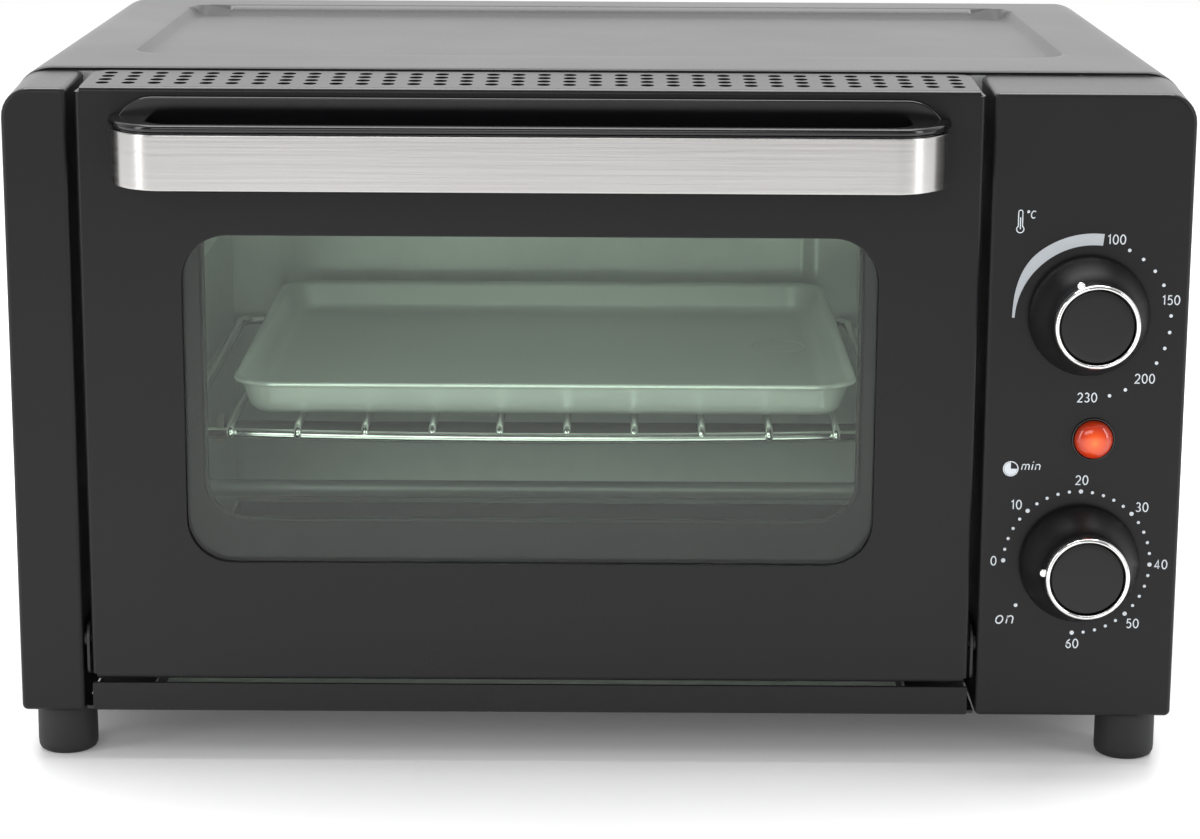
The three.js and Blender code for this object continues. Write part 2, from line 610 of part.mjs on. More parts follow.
function crumbTray() {
  const left = CAVITY_LEFT + TRAY_SIDE_GAP;
  const right = CAVITY_RIGHT - TRAY_SIDE_GAP;
  const lip = block(DOOR_LEFT, DOOR_RIGHT, FRONT, FRONT + TRAY_LIP_THICKNESS,
    BASE + FIT_GAP, DOOR_BOTTOM - TRAY_LIP_CLEARANCE);
  const back = BACK - TRAY_REAR;
  const tub = block(left, right, FRONT + TRAY_LIP_THICKNESS / 2, back, TRAY_FLOOR,
    TRAY_FLOOR + TRAY_WALL);
  const well = block(left + LINER_SHEET, right - LINER_SHEET, FRONT + TRAY_LIP_THICKNESS,
    back - LINER_SHEET, TRAY_FLOOR + LINER_SHEET, DOOR_BOTTOM);
  return cut(join(lip, tub), well);
}

// ---- door ----------------------------------------------------------------------------
function windowOutline(grow) {
  return roundedBox(WINDOW_LEFT - grow, WINDOW_RIGHT + grow,
    WINDOW_BOTTOM - grow, WINDOW_TOP + grow, WINDOW_RADIUS + grow);
}

function screwPlaces() {
  const inset = HANDLE_ARM / 2 + 1;
  return [['left', HANDLE_LEFT + inset], ['right', HANDLE_RIGHT - inset]];
}

// Folded outer skin: front face, perforated top flange, two side flanges, short bottom flange.
function doorPanel() {
  const raise = (p) => {
    const share = (p.y - FRONT) / DOOR_DEPTH;
    if (p.z > DOOR_TOP - 2 * DOOR_SKIN) p.z += DOOR_RISE * share;
  };
  const outside = reshape(block(DOOR_LEFT, DOOR_RIGHT, FRONT, FRONT + DOOR_DEPTH, DOOR_BOTTOM, DOOR_TOP), raise);
  const inside = reshape(block(DOOR_LEFT + DOOR_SKIN, DOOR_RIGHT - DOOR_SKIN, FRONT + DOOR_SKIN,
    FRONT + DOOR_DEPTH + DOOR_SKIN, DOOR_BOTTOM + DOOR_SKIN, DOOR_TOP - DOOR_SKIN), raise);
  const relief = FRONT + DOOR_SKIN + 0.2;
  const behindBottomFlange = block(DOOR_LEFT - 1, DOOR_RIGHT + 1, FRONT + DOOR_BOTTOM_FLANGE,
    FRONT + DOOR_DEPTH + 1, DOOR_BOTTOM - 1, DOOR_BOTTOM + 2 * DOOR_SKIN);
  const aroundHinge = [[relief, DOOR_BOTTOM - 1], [FRONT + DOOR_DEPTH + 1, DOOR_BOTTOM - 1],
    [FRONT + DOOR_DEPTH + 1, FLANGE_BOTTOM + FLANGE_SLANT],
    [relief + FLANGE_SLANT, FLANGE_BOTTOM + FLANGE_SLANT], [relief, FLANGE_BOTTOM]];
  const outline = aroundHinge.map(([y, z]) => new THREE.Vector2(y, z));
  const sideCut = (x0) => pullAcross(outline, x0, x0 + 3 * DOOR_SKIN);
  const window = pullBack(windowOutline(0), FRONT - 1, FRONT + 2 * DOOR_SKIN);
  const holes = screwPlaces().map(([, x]) => rodY(SCREW_RADIUS + FIT_GAP, 6, x, FRONT, SCREW_Z));
  return cut(solidOf(outside), inside, behindBottomFlange, sideCut(DOOR_LEFT - 1.5 * DOOR_SKIN),
    sideCut(DOOR_RIGHT - 1.5 * DOOR_SKIN), window, ...holes);
}

function doorGlass() {
  return pullBack(windowOutline(GLASS_LAP), GLASS_FRONT, GLASS_FRONT + GLASS_THICKNESS);
}

// Cranked strip that laps over the top or the bottom edge of the glass.
function glassClip(side) {
  const middle = (WINDOW_BOTTOM + WINDOW_TOP) / 2;
  const edge = middle + side * ((WINDOW_TOP - WINDOW_BOTTOM) / 2 + GLASS_LAP);
  const behind = GLASS_FRONT + GLASS_THICKNESS + FIT_GAP;
  const span = (a, b, y0, y1) => block(WINDOW_LEFT + WINDOW_RADIUS, WINDOW_RIGHT - WINDOW_RADIUS,
    y0, y1, Math.min(a, b), Math.max(a, b));
  const near = edge + side * FIT_GAP;
  const far = near + side * LINER_SHEET;
  const lap = span(edge - side * CLIP_LAP, far, behind, behind + LINER_SHEET);
  const web = span(near, far, GLASS_FRONT, behind + LINER_SHEET);
  const foot = span(near, far + side * CLIP_LAP, GLASS_FRONT, GLASS_FRONT + LINER_SHEET);
  return join(lap, web, foot);
}

function doorInnerPanel() {
  const gap = DOOR_SKIN + FIT_GAP;
  const bottom = FLANGE_BOTTOM + FLANGE_SLANT + FIT_GAP;
  const plate = block(DOOR_LEFT + gap, DOOR_RIGHT - gap, DOOR_INNER, FRONT + DOOR_DEPTH,
    bottom, DOOR_TOP - gap);
  const outline = (grow) => roundedBox(WINDOW_LEFT + INNER_INSET - grow,
    WINDOW_RIGHT - INNER_INSET + grow, DOOR_BOTTOM + INNER_BELOW - grow, DOOR_TOP - INNER_ABOVE + grow,
    INNER_RADIUS + grow);
  const lip = pullBack(outline(LINER_SHEET), DOOR_INNER - INNER_LIP, FRONT + DOOR_DEPTH);
  const opening = pullBack(outline(0), DOOR_INNER - INNER_LIP - 1, FRONT + DOOR_DEPTH + 1);
  return cut(join(plate, lip), opening);
}

// Plan outline of the handle: straight front, curved ends. `grow` moves it outwards.
function handleOutline(grow) {
  const base = FRONT - FIT_GAP;
  const reach = HANDLE_REACH - BAND_SHEET - FIT_GAP + grow;
  const steps = 10;
  const points = [];
  for (let k = 0; k <= steps; k++) {
    const angle = (k / steps) * (Math.PI / 2);
    points.push(new THREE.Vector2(HANDLE_LEFT + HANDLE_END - (HANDLE_END + grow) * Math.cos(angle),
      base - reach * Math.sin(angle)));
  }
  const mirrored = points.map((p) => new THREE.Vector2(2 * DOOR_X - p.x, p.y)).reverse();
  return [...points, ...mirrored];
}

function handleBody() {
  const [left, right] = [HANDLE_LEFT, HANDLE_RIGHT];
  const bar = pullUp(handleOutline(-FIT_GAP), HANDLE_BOTTOM, HANDLE_TOP);
  const rimBottom = HANDLE_BOTTOM + BAND_HEIGHT + 2 * BAND_MARGIN;
  const rim = pullUp(handleOutline(0), rimBottom, HANDLE_TOP);
  const palm = FRONT - HANDLE_REACH + HANDLE_BAR + 1;
  const pocket = pullUp(rounded([[left + HANDLE_ARM, palm, 6], [right - HANDLE_ARM, palm, 6],
    [right - HANDLE_ARM, FRONT - FIT_GAP - HANDLE_PLATE], [left + HANDLE_ARM, FRONT - FIT_GAP - HANDLE_PLATE]]),
  HANDLE_BOTTOM - 1, HANDLE_TOP + 1);
  const plate = pullBack(rounded([[left + 0.6, HANDLE_BOTTOM, 4], [right - 0.6, HANDLE_BOTTOM, 4],
    [right - 0.6, HANDLE_TOP + PLATE_ABOVE, 14], [left + 0.6, HANDLE_TOP + PLATE_ABOVE, 14]]),
  FRONT - FIT_GAP - HANDLE_PLATE, FRONT - FIT_GAP);
  const bores = screwPlaces().map(([, x]) => rodY(SCREW_RADIUS + FIT_GAP, 26, x, FRONT, SCREW_Z));
  return cut(cut(join(bar, rim), pocket).add(solidOf(plate)), ...bores);
}

// Metal strip round the front of the grip.
function handleBand() {
  const bottom = HANDLE_BOTTOM + BAND_MARGIN;
  const outside = pullUp(handleOutline(BAND_SHEET), bottom, bottom + BAND_HEIGHT);
  const inside = pullUp(handleOutline(0), bottom - 1, bottom + BAND_HEIGHT + 1);
  const nearDoor = block(-BODY_WIDTH, BODY_WIDTH, FRONT - BAND_SETBACK, FRONT + 1,
    HANDLE_BOTTOM - 1, HANDLE_TOP + 1);
  return cut(solidOf(outside), inside, nearDoor);
}

function handleScrew(x) {
  const shank = rodY(SCREW_RADIUS, SCREW_LENGTH, x, FRONT + 1.5 - SCREW_LENGTH / 2, SCREW_Z);
  const head = rodY(SCREW_HEAD_RADIUS, 2, x, FRONT + DOOR_SKIN + FIT_GAP + 1, SCREW_Z);
  return join(shank, head);
}

// ---- hinge ---------------------------------------------------------------------------
function hingeEar(side) {
  const face = side < 0 ? DOOR_LEFT - EAR_GAP - EAR_SHEET : DOOR_RIGHT + EAR_GAP;
  const bottom = HINGE_Z - EAR_BELOW;
  const outline = rounded([[HINGE_Y - EAR_NOSE + 1.5, bottom, 3], [BEZEL_BACK, bottom],
    [BEZEL_BACK, HINGE_Z + EAR_NOSE], [HINGE_Y - EAR_NOSE + 1.5, HINGE_Z + EAR_NOSE, EAR_NOSE - 0.5]]);
  const plate = solidOf(pullAcross(outline, face, face + EAR_SHEET));
  return cut(plate, rodX(PIN_RADIUS + PIN_CLEARANCE, 10, face, HINGE_Y, HINGE_Z));
}

// Headed pin through the ear and the door bracket.
function hingePin(side) {
  const earOuter = side < 0 ? DOOR_LEFT - EAR_GAP - EAR_SHEET : DOOR_RIGHT + EAR_GAP + EAR_SHEET;
  const inward = -side;
  const length = EAR_GAP + EAR_SHEET + BRACKET_INSET + 4;
  const shank = rodX(PIN_RADIUS, length, earOuter + inward * (length / 2 - FIT_GAP), HINGE_Y, HINGE_Z);
  const head = rodX(PIN_RADIUS + 1, 0.6, earOuter + side * (FIT_GAP + 0.3), HINGE_Y, HINGE_Z);
  return join(shank, head);
}

// Cranked bracket inside the door that turns on the pin.
function hingeBracket(side) {
  const outer = side < 0 ? DOOR_LEFT + BRACKET_INSET : DOOR_RIGHT - BRACKET_INSET;
  const inner = outer - side * SHEET;
  const front = FRONT + DOOR_SKIN + FIT_GAP;
  const bottom = HINGE_Z - EAR_NOSE;
  const upright = block(Math.min(outer, inner), Math.max(outer, inner), front,
    FRONT + BRACKET_DEPTH + DOOR_SKIN, bottom, bottom + BRACKET_HEIGHT);
  const wing = outer - side * 9;
  const seat = block(Math.min(outer, wing), Math.max(outer, wing), front, front + SHEET,
    HINGE_Z + EAR_NOSE, bottom + BRACKET_HEIGHT);
  return cut(join(upright, seat), rodX(PIN_RADIUS + PIN_CLEARANCE, 10, outer, HINGE_Y, HINGE_Z));
}

// ---- controls ------------------------------------------------------------------------
const FACE = FRONT - KNOB_GAP; // plane that the knob skirts turn in

// Moulded grip: flared skirt, neck and the face disc inside the metal ring.
function knobBody(z) {
  const bore = SHAFT_RADIUS + FIT_GAP;
  const neck = RING_RADIUS - 0.6;
  const disc = RING_RADIUS - RING_WALL - FIT_GAP;
  const shoulder = KNOB_REACH - KNOB_GAP - RING_LENGTH - FIT_GAP;
  const end = KNOB_REACH - KNOB_GAP - 0.7;
  const profile = [[bore, 0], [KNOB_RADIUS - 0.6, 0], [KNOB_RADIUS, 0.6], [KNOB_RADIUS - 0.5, 2.6],
    [KNOB_RADIUS - 2, 5.2], [KNOB_RADIUS - 3.8, 8.4], [neck + 0.7, 11.6], [neck, shoulder],
    [disc, shoulder], [disc, end - 0.4], [disc - 0.4, end], [0, end], [0, shoulder - 1],
    [bore, shoulder - 1], [bore, 0]];
  return turnedForward(profile, KNOB_AXIS_X, FACE, z);
}

function knobRing(z) {
  const start = KNOB_REACH - KNOB_GAP - RING_LENGTH;
  const end = KNOB_REACH - KNOB_GAP;
  const inner = RING_RADIUS - RING_WALL;
  const profile = [[inner, start], [RING_RADIUS, start], [RING_RADIUS, end - 1],
    [RING_RADIUS - 0.8, end], [inner, end], [inner, start]];
  return turnedForward(profile, KNOB_AXIS_X, FACE, z);
}

function knobPointer(z, angle) {
  const inner = RING_RADIUS + FIT_GAP;
  const end = FRONT - KNOB_REACH + RING_LENGTH;
  const nub = block(-POINTER_WIDTH / 2, POINTER_WIDTH / 2, end - POINTER_DEPTH / 2, end + FIT_GAP,
    inner, inner + POINTER_LENGTH);
  return nub.rotateY(angle * DEGREE).translate(KNOB_AXIS_X, 0, z);
}

function controlShaft(z) {
  const back = FRONT + BEZEL_WALL + FIT_GAP + 1;
  const front = FRONT - KNOB_REACH + RING_LENGTH + 4;
  return rodY(SHAFT_RADIUS, back - front, KNOB_AXIS_X, (front + back) / 2, z);
}

// Housing behind the panel with a neck bored for the shaft.
function controlBody([width, depth, height], z) {
  const front = FRONT + BEZEL_WALL + FIT_GAP;
  const housing = block(KNOB_AXIS_X - width / 2, KNOB_AXIS_X + width / 2, front + 3, front + 3 + depth,
    z - height / 2, z + height / 2);
  const neck = rodY(SHAFT_RADIUS + 3, 4, KNOB_AXIS_X, front + 2, z, 24);
  return cut(join(housing, neck), rodY(SHAFT_RADIUS + FIT_GAP, 6, KNOB_AXIS_X, front, z));
}

function lampLens() {
  const stem = LAMP_RADIUS - 1;
  const profile = [[0, -6], [stem, -6], [stem, FIT_GAP], [LAMP_RADIUS, FIT_GAP],
    [LAMP_RADIUS - 0.4, 1.6], [LAMP_RADIUS - 2, 3.1], [LAMP_RADIUS - 4, 3.8], [0, LAMP_REACH]];
  return turnedForward(profile, LAMP_AXIS_X, FRONT, LAMP_Z, 24);
}

function lampHolder() {
  const bore = LAMP_RADIUS - 1 + FIT_GAP;
  const start = BEZEL_WALL + FIT_GAP;
  const profile = [[bore, -start], [LAMP_RADIUS + 1.5, -start], [LAMP_RADIUS + 1.5, -start - 12],
    [0, -start - 12], [0, -start - 8], [bore, -start - 8], [bore, -start]].reverse();
  return turnedForward(profile, LAMP_AXIS_X, FRONT, LAMP_Z, 24);
}

// ---- supply end ----------------------------------------------------------------------
function terminalBlock() {
  const [width, depth, height] = TERMINAL_SIZE;
  const y = BACK - TERMINAL_REAR;
  const z = BASE_TOP + FIT_GAP;
  return block(GLAND_X - width / 2, GLAND_X + width / 2, y - depth / 2, y + depth / 2, z, z + height);
}

function cordGland() {
  const plateBack = BACK - SHEET;
  const collar = BACK + REAR_GLAND - plateBack - FIT_GAP;
  const neck = GLAND_NECK;
  const profile = [[GLAND_BORE, -FIT_GAP - collar], [GLAND_RADIUS - 1, -FIT_GAP - collar],
    [GLAND_RADIUS, -FIT_GAP - collar + 1], [GLAND_RADIUS, -FIT_GAP], [neck, -FIT_GAP],
    [neck, GLAND_LENGTH - collar], [GLAND_BORE, GLAND_LENGTH - collar],
    [GLAND_BORE, -FIT_GAP - collar]];
  return turnedForward(profile, GLAND_X, plateBack, GLAND_Z, 24);
}

// ---- assembly ------------------------------------------------------------------------
add('outer_shell', outerShell(), charcoalPaint);
add('back_panel', backPanel(), zincSteel);
add('base_panel', basePanel(), zincSteel);
add('left_pillar', leftPillar(), charcoalPaint);
add('control_panel', controlPanel(), charcoalPaint);
add('front_frame', frontFrame(), zincSteel);
add('heat_shield', heatShield(), aluminium);
add('cavity_left_wall', cavityWall(-1), aluminium);
add('cavity_right_wall', cavityWall(1), aluminium);
add('cavity_top', cavityTop(), aluminium);
add('cavity_back', cavityBack(), aluminium);

const footX = BEZEL_WIDTH / 2 - FOOT_INSET_X;
add('foot_front_left', foot(-footX, FRONT + FOOT_INSET_FRONT), blackRubber);
add('foot_front_right', foot(footX, FRONT + FOOT_INSET_FRONT), blackRubber);
add('foot_back_left', foot(-footX, BACK - FOOT_INSET_BACK), blackRubber);
add('foot_back_right', foot(footX, BACK - FOOT_INSET_BACK), blackRubber);

for (const [name, y, z] of HEATERS) {
  add(`heater_${name}`, heater(y, z), quartz);
  add(`heater_ceramic_${name}_left`, ceramicSleeve(-1, y, z), ceramic);
  add(`heater_ceramic_${name}_right`, ceramicSleeve(1, y, z), ceramic);
}

add('wire_rack', wireRack(), chrome);
add('baking_pan', bakingPan(), aluminium);
add('crumb_tray', crumbTray(), charcoalPaint);

add('door_panel', doorPanel(), charcoalPaint);
add('door_glass', doorGlass(), tintedGlass);
add('glass_clip_top', glassClip(1), zincSteel);
add('glass_clip_bottom', glassClip(-1), zincSteel);
add('door_inner_panel', doorInnerPanel(), charcoalPaint);
add('handle_body', handleBody(), blackPlastic);
add('handle_band', handleBand(), brushedSteel);
for (const [name, x] of screwPlaces()) {
  add(`handle_screw_${name}`, handleScrew(x), zincSteel);
}
for (const [name, side] of [['left', -1], ['right', 1]]) {
  add(`hinge_ear_${name}`, hingeEar(side), zincSteel);
  add(`hinge_pin_${name}`, hingePin(side), zincSteel);
  add(`hinge_bracket_${name}`, hingeBracket(side), zincSteel);
}

for (const [name, z, angle] of [['temperature', TEMPERATURE_Z, TEMPERATURE_REST],
  ['timer', TIMER_Z, TIMER_REST]]) {
  add(`${name}_knob`, knobBody(z), blackPlastic);
  add(`${name}_knob_ring`, knobRing(z), chrome);
  add(`${name}_knob_pointer`, knobPointer(z, angle), chrome);
  add(`${name}_shaft`, controlShaft(z), zincSteel);
}
add('thermostat', controlBody(THERMOSTAT_SIZE, TEMPERATURE_Z), phenolic);
add('timer', controlBody(TIMER_SIZE, TIMER_Z), phenolic);
add('pilot_lens', lampLens(), redLens);
add('pilot_lamp_holder', lampHolder(), blackPlastic);
add('terminal_block', terminalBlock(), phenolic);
add('cord_gland', cordGland(), blackRubber);

export default oven;
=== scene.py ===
"""Looks of a table-top toaster oven. Laid out as an add-on and run as a script.

Sizes inside the functions are in millimetres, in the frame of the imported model. Only the mesh
builder at the end of each piece turns them into metres.
"""
import math

import bmesh
import bpy
from mathutils import Matrix, Vector


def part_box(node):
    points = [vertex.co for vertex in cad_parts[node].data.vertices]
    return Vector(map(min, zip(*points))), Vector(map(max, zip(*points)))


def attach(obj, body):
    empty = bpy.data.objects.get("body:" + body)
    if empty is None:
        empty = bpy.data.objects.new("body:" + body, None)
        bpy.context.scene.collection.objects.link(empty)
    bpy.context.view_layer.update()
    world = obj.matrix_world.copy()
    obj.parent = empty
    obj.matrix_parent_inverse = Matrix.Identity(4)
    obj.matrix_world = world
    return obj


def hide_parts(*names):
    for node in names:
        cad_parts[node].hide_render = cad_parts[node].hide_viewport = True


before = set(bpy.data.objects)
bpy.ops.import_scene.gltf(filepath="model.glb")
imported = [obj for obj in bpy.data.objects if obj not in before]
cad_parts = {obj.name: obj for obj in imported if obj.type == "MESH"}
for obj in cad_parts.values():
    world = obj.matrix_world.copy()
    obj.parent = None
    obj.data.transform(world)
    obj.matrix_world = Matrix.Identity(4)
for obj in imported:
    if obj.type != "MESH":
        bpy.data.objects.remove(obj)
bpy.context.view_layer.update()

bl_info = {
    "name": "Toaster Oven",
    "version": (1, 0, 0),
    "blender": (4, 5, 0),
    "location": "3D View > Sidebar > Toaster Oven",
    "description": "Builds the finished surfaces of a table-top toaster oven",
    "category": "Add Mesh",
}

MM = 0.001


def low(node, axis):
    """Lowest coordinate of a node along an axis, in millimetres."""
    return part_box(node)[0]["XYZ".index(axis)] / MM


def high(node, axis):
    """Highest coordinate of a node along an axis, in millimetres."""
    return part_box(node)[1]["XYZ".index(axis)] / MM


def middle(node, axis):
    """Middle of a node along an axis, in millimetres."""
    return (low(node, axis) + high(node, axis)) / 2


FRONT = low("control_panel", "Y")
BEZEL_BACK = high("control_panel", "Y")
BACK = high("outer_shell", "Y")
FLOOR_OF_BODY = low("outer_shell", "Z")
DOOR_LEFT = low("door_panel", "X")
DOOR_RIGHT = high("door_panel", "X")
DOOR_X = (DOOR_LEFT + DOOR_RIGHT) / 2
DIAL_X = middle("temperature_knob", "X")
DIAL_Z = {"temperature": middle("temperature_knob", "Z"), "timer": middle("timer_knob", "Z")}


# ---- settings ------------------------------------------------------------------------
class OvenFinishSettings(bpy.types.PropertyGroup):
    """Colours of the oven's finishes."""

    paint: bpy.props.FloatVectorProperty(
        name="Body Paint", description="Charcoal paint of the shell, bezel and door",
        default=(0.0088, 0.0082, 0.0092), size=3, min=0, max=1, subtype="COLOR")
    print_color: bpy.props.FloatVectorProperty(
        name="Dial Print", description="Light grey print of the dial scales",
        default=(0.62, 0.66, 0.70), size=3, min=0, max=1, subtype="COLOR")
    lens: bpy.props.FloatVectorProperty(
        name="Pilot Lens", description="Colour of the pilot light's lens",
        default=(0.80, 0.075, 0.012), size=3, min=0, max=1, subtype="COLOR")
    glass_tint: bpy.props.FloatVectorProperty(
        name="Glass Tint", description="Tint of the tempered door glass",
        default=(0.84, 0.97, 0.87), size=3, min=0, max=1, subtype="COLOR")


class OvenDoorSettings(bpy.types.PropertyGroup):
    """Sizes of the door's sheet metal."""

    fold_radius: bpy.props.FloatProperty(
        name="Fold Radius", description="Outer radius of the door's folds",
        default=1.6 * MM, min=0.5 * MM, max=4 * MM, unit="LENGTH")
    vent_columns: bpy.props.IntProperty(
        name="Vent Columns", description="Columns of round vents in the top flange",
        default=34, min=2, max=60)
    vent_rows: bpy.props.IntProperty(
        name="Vent Rows", description="Rows of round vents in the top flange",
        default=4, min=1, max=6)
    vent_diameter: bpy.props.FloatProperty(
        name="Vent Diameter", description="Diameter of each round vent",
        default=4.1 * MM, min=1 * MM, max=6 * MM, unit="LENGTH")
    vent_pitch: bpy.props.FloatVectorProperty(
        name="Vent Pitch", description="Spacing of the vents across and along the flange",
        default=(7.85 * MM, 6.2 * MM), size=2, unit="LENGTH")
    window_radius: bpy.props.FloatProperty(
        name="Window Radius", description="Corner radius of the window",
        default=14 * MM, min=2 * MM, max=30 * MM, unit="LENGTH")


class OvenControlSettings(bpy.types.PropertyGroup):
    """Sizes of the dials' scales."""

    timer_step: bpy.props.FloatProperty(
        name="Timer Step", description="Angle between two dots of the timer scale",
        default=math.radians(9), unit="ROTATION")
    temperature_step: bpy.props.FloatProperty(
        name="Temperature Step", description="Angle between two dots of the temperature scale",
        default=math.radians(12.15), unit="ROTATION")
    numeral_height: bpy.props.FloatProperty(
        name="Numeral Height", description="Height of the printed numerals",
        default=3.0 * MM, min=1 * MM, max=6 * MM, unit="LENGTH")


class OvenCavitySettings(bpy.types.PropertyGroup):
    """Sizes of the rack inside the oven."""

    rack_wires: bpy.props.IntProperty(
        name="Rack Wires", description="Wires that run from the front to the back of the rack",
        default=10, min=3, max=30)
    wire_pitch: bpy.props.FloatProperty(
        name="Wire Pitch", description="Spacing of the rack wires",
        default=21.7 * MM, min=5 * MM, max=40 * MM, unit="LENGTH")


class OvenStageSettings(bpy.types.PropertyGroup):
    """Camera and light of the stage."""

    lens: bpy.props.FloatProperty(
        name="Lens", description="Focal length of the camera in millimetres", default=95.85)
    key_power: bpy.props.FloatProperty(
        name="Overhead Light", description="Power of the overhead soft light", default=38.0, unit="POWER")
    fill_power: bpy.props.FloatProperty(
        name="Front Fill", description="Power of the soft light in front", default=12.0, unit="POWER")
    strip_power: bpy.props.FloatProperty(
        name="Side Strips", description="Power of the tall soft lights at the sides",
        default=6.0, unit="POWER")
    front_dim: bpy.props.FloatProperty(
        name="Front Surround", description="Brightness of the surround in front, as a share", default=0.3)
    sky: bpy.props.FloatProperty(
        name="Surround", description="Brightness of the white surround", default=1.05)


class OvenSettings(bpy.types.PropertyGroup):
    """All settings of the oven."""

    finish: bpy.props.PointerProperty(type=OvenFinishSettings)
    door: bpy.props.PointerProperty(type=OvenDoorSettings)
    control: bpy.props.PointerProperty(type=OvenControlSettings)
    cavity: bpy.props.PointerProperty(type=OvenCavitySettings)
    stage: bpy.props.PointerProperty(type=OvenStageSettings)


def settings():
    """The scene's oven settings."""
    return bpy.context.scene.toaster_oven


# ---- outlines ------------------------------------------------------------------------
def rounded(corners, steps=8):
    """Points of a polygon whose corners are (x, y, radius), in order."""
    points = []
    for i, (x, y, radius) in enumerate(corners):
        here = Vector((x, y))
        if radius <= 0:
            points.append((x, y))
            continue
        before = (Vector(corners[i - 1][:2]) - here).normalized()
        after = (Vector(corners[(i + 1) % len(corners)][:2]) - here).normalized()
        half = before.angle(after) / 2
        centre = here + (before + after).normalized() * (radius / math.sin(half))
        start = here + before * (radius / math.tan(half)) - centre
        end = here + after * (radius / math.tan(half)) - centre
        turn = math.atan2(start.x * end.y - start.y * end.x, start.dot(end))
        for k in range(steps + 1):
            angle = turn * k / steps
            c, s = math.cos(angle), math.sin(angle)
            points.append((centre.x + start.x * c - start.y * s, centre.y + start.x * s + start.y * c))
    return points


def rounded_box(x0, x1, y0, y1, radius, steps=8):
    """Points of a rectangle with four equal round corners."""
    return rounded([(x0, y0, radius), (x1, y0, radius), (x1, y1, radius), (x0, y1, radius)], steps)


class Builder:
    """Collects points in millimetres and the faces between them."""

    def __init__(self):
        self.points = []
        self.faces = []

    def ring(self, points):
        """Adds points and returns their numbers."""
        first = len(self.points)
        self.points.extend(tuple(p) for p in points)
        return list(range(first, len(self.points)))

    def bridge(self, a, b, closed=True):
        """Faces between two rings of equal length."""
        count = len(a) if closed else len(a) - 1
        for i in range(count):
            j = (i + 1) % len(a)
            self.faces.append((a[i], a[j], b[j], b[i]))

    def cap(self, ring):
        """One face that fills a ring."""
        self.faces.append(tuple(ring))

    def stack(self, rings, caps=True):
        """Bridges a list of rings one after the other and fills both ends."""
        numbers = [self.ring(r) for r in rings]
        for a, b in zip(numbers, numbers[1:]):
            self.bridge(a, b)
        if caps:
            self.cap(numbers[0])
            self.cap(numbers[-1])
        return numbers

    def make(self, name):
        """The mesh object, in metres, with merged doubles and faces outwards."""
        mesh = bpy.data.meshes.new(name)
        mesh.from_pydata([(x * MM, y * MM, z * MM) for x, y, z in self.points], [], self.faces)
        shape = bmesh.new()
        shape.from_mesh(mesh)
        bmesh.ops.remove_doubles(shape, verts=shape.verts, dist=1e-7)
        bmesh.ops.recalc_face_normals(shape, faces=shape.faces)
        shape.to_mesh(mesh)
        shape.free()
        piece = bpy.data.objects.new(name, mesh)
        bpy.context.scene.collection.objects.link(piece)
        return piece


def prism(name, outline, plane, start, end):
    """A straight solid: an outline in plane XY, XZ or YZ, between two heights on the third axis."""
    place = {
        "XY": lambda p, h: (p[0], p[1], h),
        "XZ": lambda p, h: (p[0], h, p[1]),
        "YZ": lambda p, h: (h, p[0], p[1]),
    }[plane]
    build = Builder()
    build.stack([[place(p, start) for p in outline], [place(p, end) for p in outline]])
    return build.make(name)


def box_piece(name, x0, x1, y0, y1, z0, z1):
    """A block between two corners."""
    return prism(name, [(x0, y0), (x1, y0), (x1, y1), (x0, y1)], "XY", z0, z1)


def turned(name, profile, centre, direction, segments=64):
    """A turned solid. The profile is (radius, reach) and reach runs along direction."""
    axis = Vector(direction).normalized()
    side = Vector((0, 0, 1)) if abs(axis.z) < 0.9 else Vector((1, 0, 0))
    other = axis.cross(side)
    centre = Vector(centre)
    build = Builder()
    rings = []
    for radius, reach in profile:
        base = centre + axis * reach
        if radius < 1e-6:
            rings.append(build.ring([base]))
            continue
        rings.append(build.ring([
            base + side * (radius * math.cos(2 * math.pi * k / segments))
            + other * (radius * math.sin(2 * math.pi * k / segments)) for k in range(segments)]))
    for a, b in zip(rings, rings[1:]):
        if len(a) == 1 and len(b) == 1:
            continue
        if len(a) == 1 or len(b) == 1:
            tip, ring = (a[0], b) if len(a) == 1 else (b[0], a)
            for i in range(segments):
                build.faces.append((tip, ring[i], ring[(i + 1) % segments]))
        else:
            build.bridge(a, b)
    return build.make(name)


def rod(name, path, radius, sides=12, closed=False):
    """A round wire along points, in millimetres, without a twist."""
    points = [Vector(p) for p in path]
    build = Builder()
    rings = []
    normal = None
    for i, point in enumerate(points):
        before = points[i - 1] if i or closed else point
        after = points[(i + 1) % len(points)] if i + 1 < len(points) or closed else point
        along = (after - before).normalized()
        if normal is None:
            normal = along.orthogonal().normalized()
        normal = (normal - along * normal.dot(along)).normalized()
        other = along.cross(normal)
        rings.append(build.ring([
            point + normal * (radius * math.cos(2 * math.pi * k / sides))
            + other * (radius * math.sin(2 * math.pi * k / sides)) for k in range(sides)]))
    for a, b in zip(rings, rings[1:] + (rings[:1] if closed else [])):
        build.bridge(a, b)
    if not closed:
        for ring, end, inner in ((rings[0], points[0], points[1]), (rings[-1], points[-1], points[-2])):
            out = (end - inner).normalized()
            dome = build.ring([end + (Vector(build.points[k]) - end) * 0.6 + out * radius * 0.6
                               for k in ring])
            build.bridge(ring, dome)
            build.cap(dome)
    return build.make(name)


# ---- mesh finishing ------------------------------------------------------------------
def bake(piece):
    """Turns a piece and its modifiers into a plain mesh."""
    graph = bpy.context.evaluated_depsgraph_get()
    mesh = bpy.data.meshes.new_from_object(piece.evaluated_get(graph), preserve_all_data_layers=True,
                                           depsgraph=graph)
    piece.modifiers.clear()
    old = piece.data
    piece.data = mesh
    bpy.data.meshes.remove(old)
    return piece


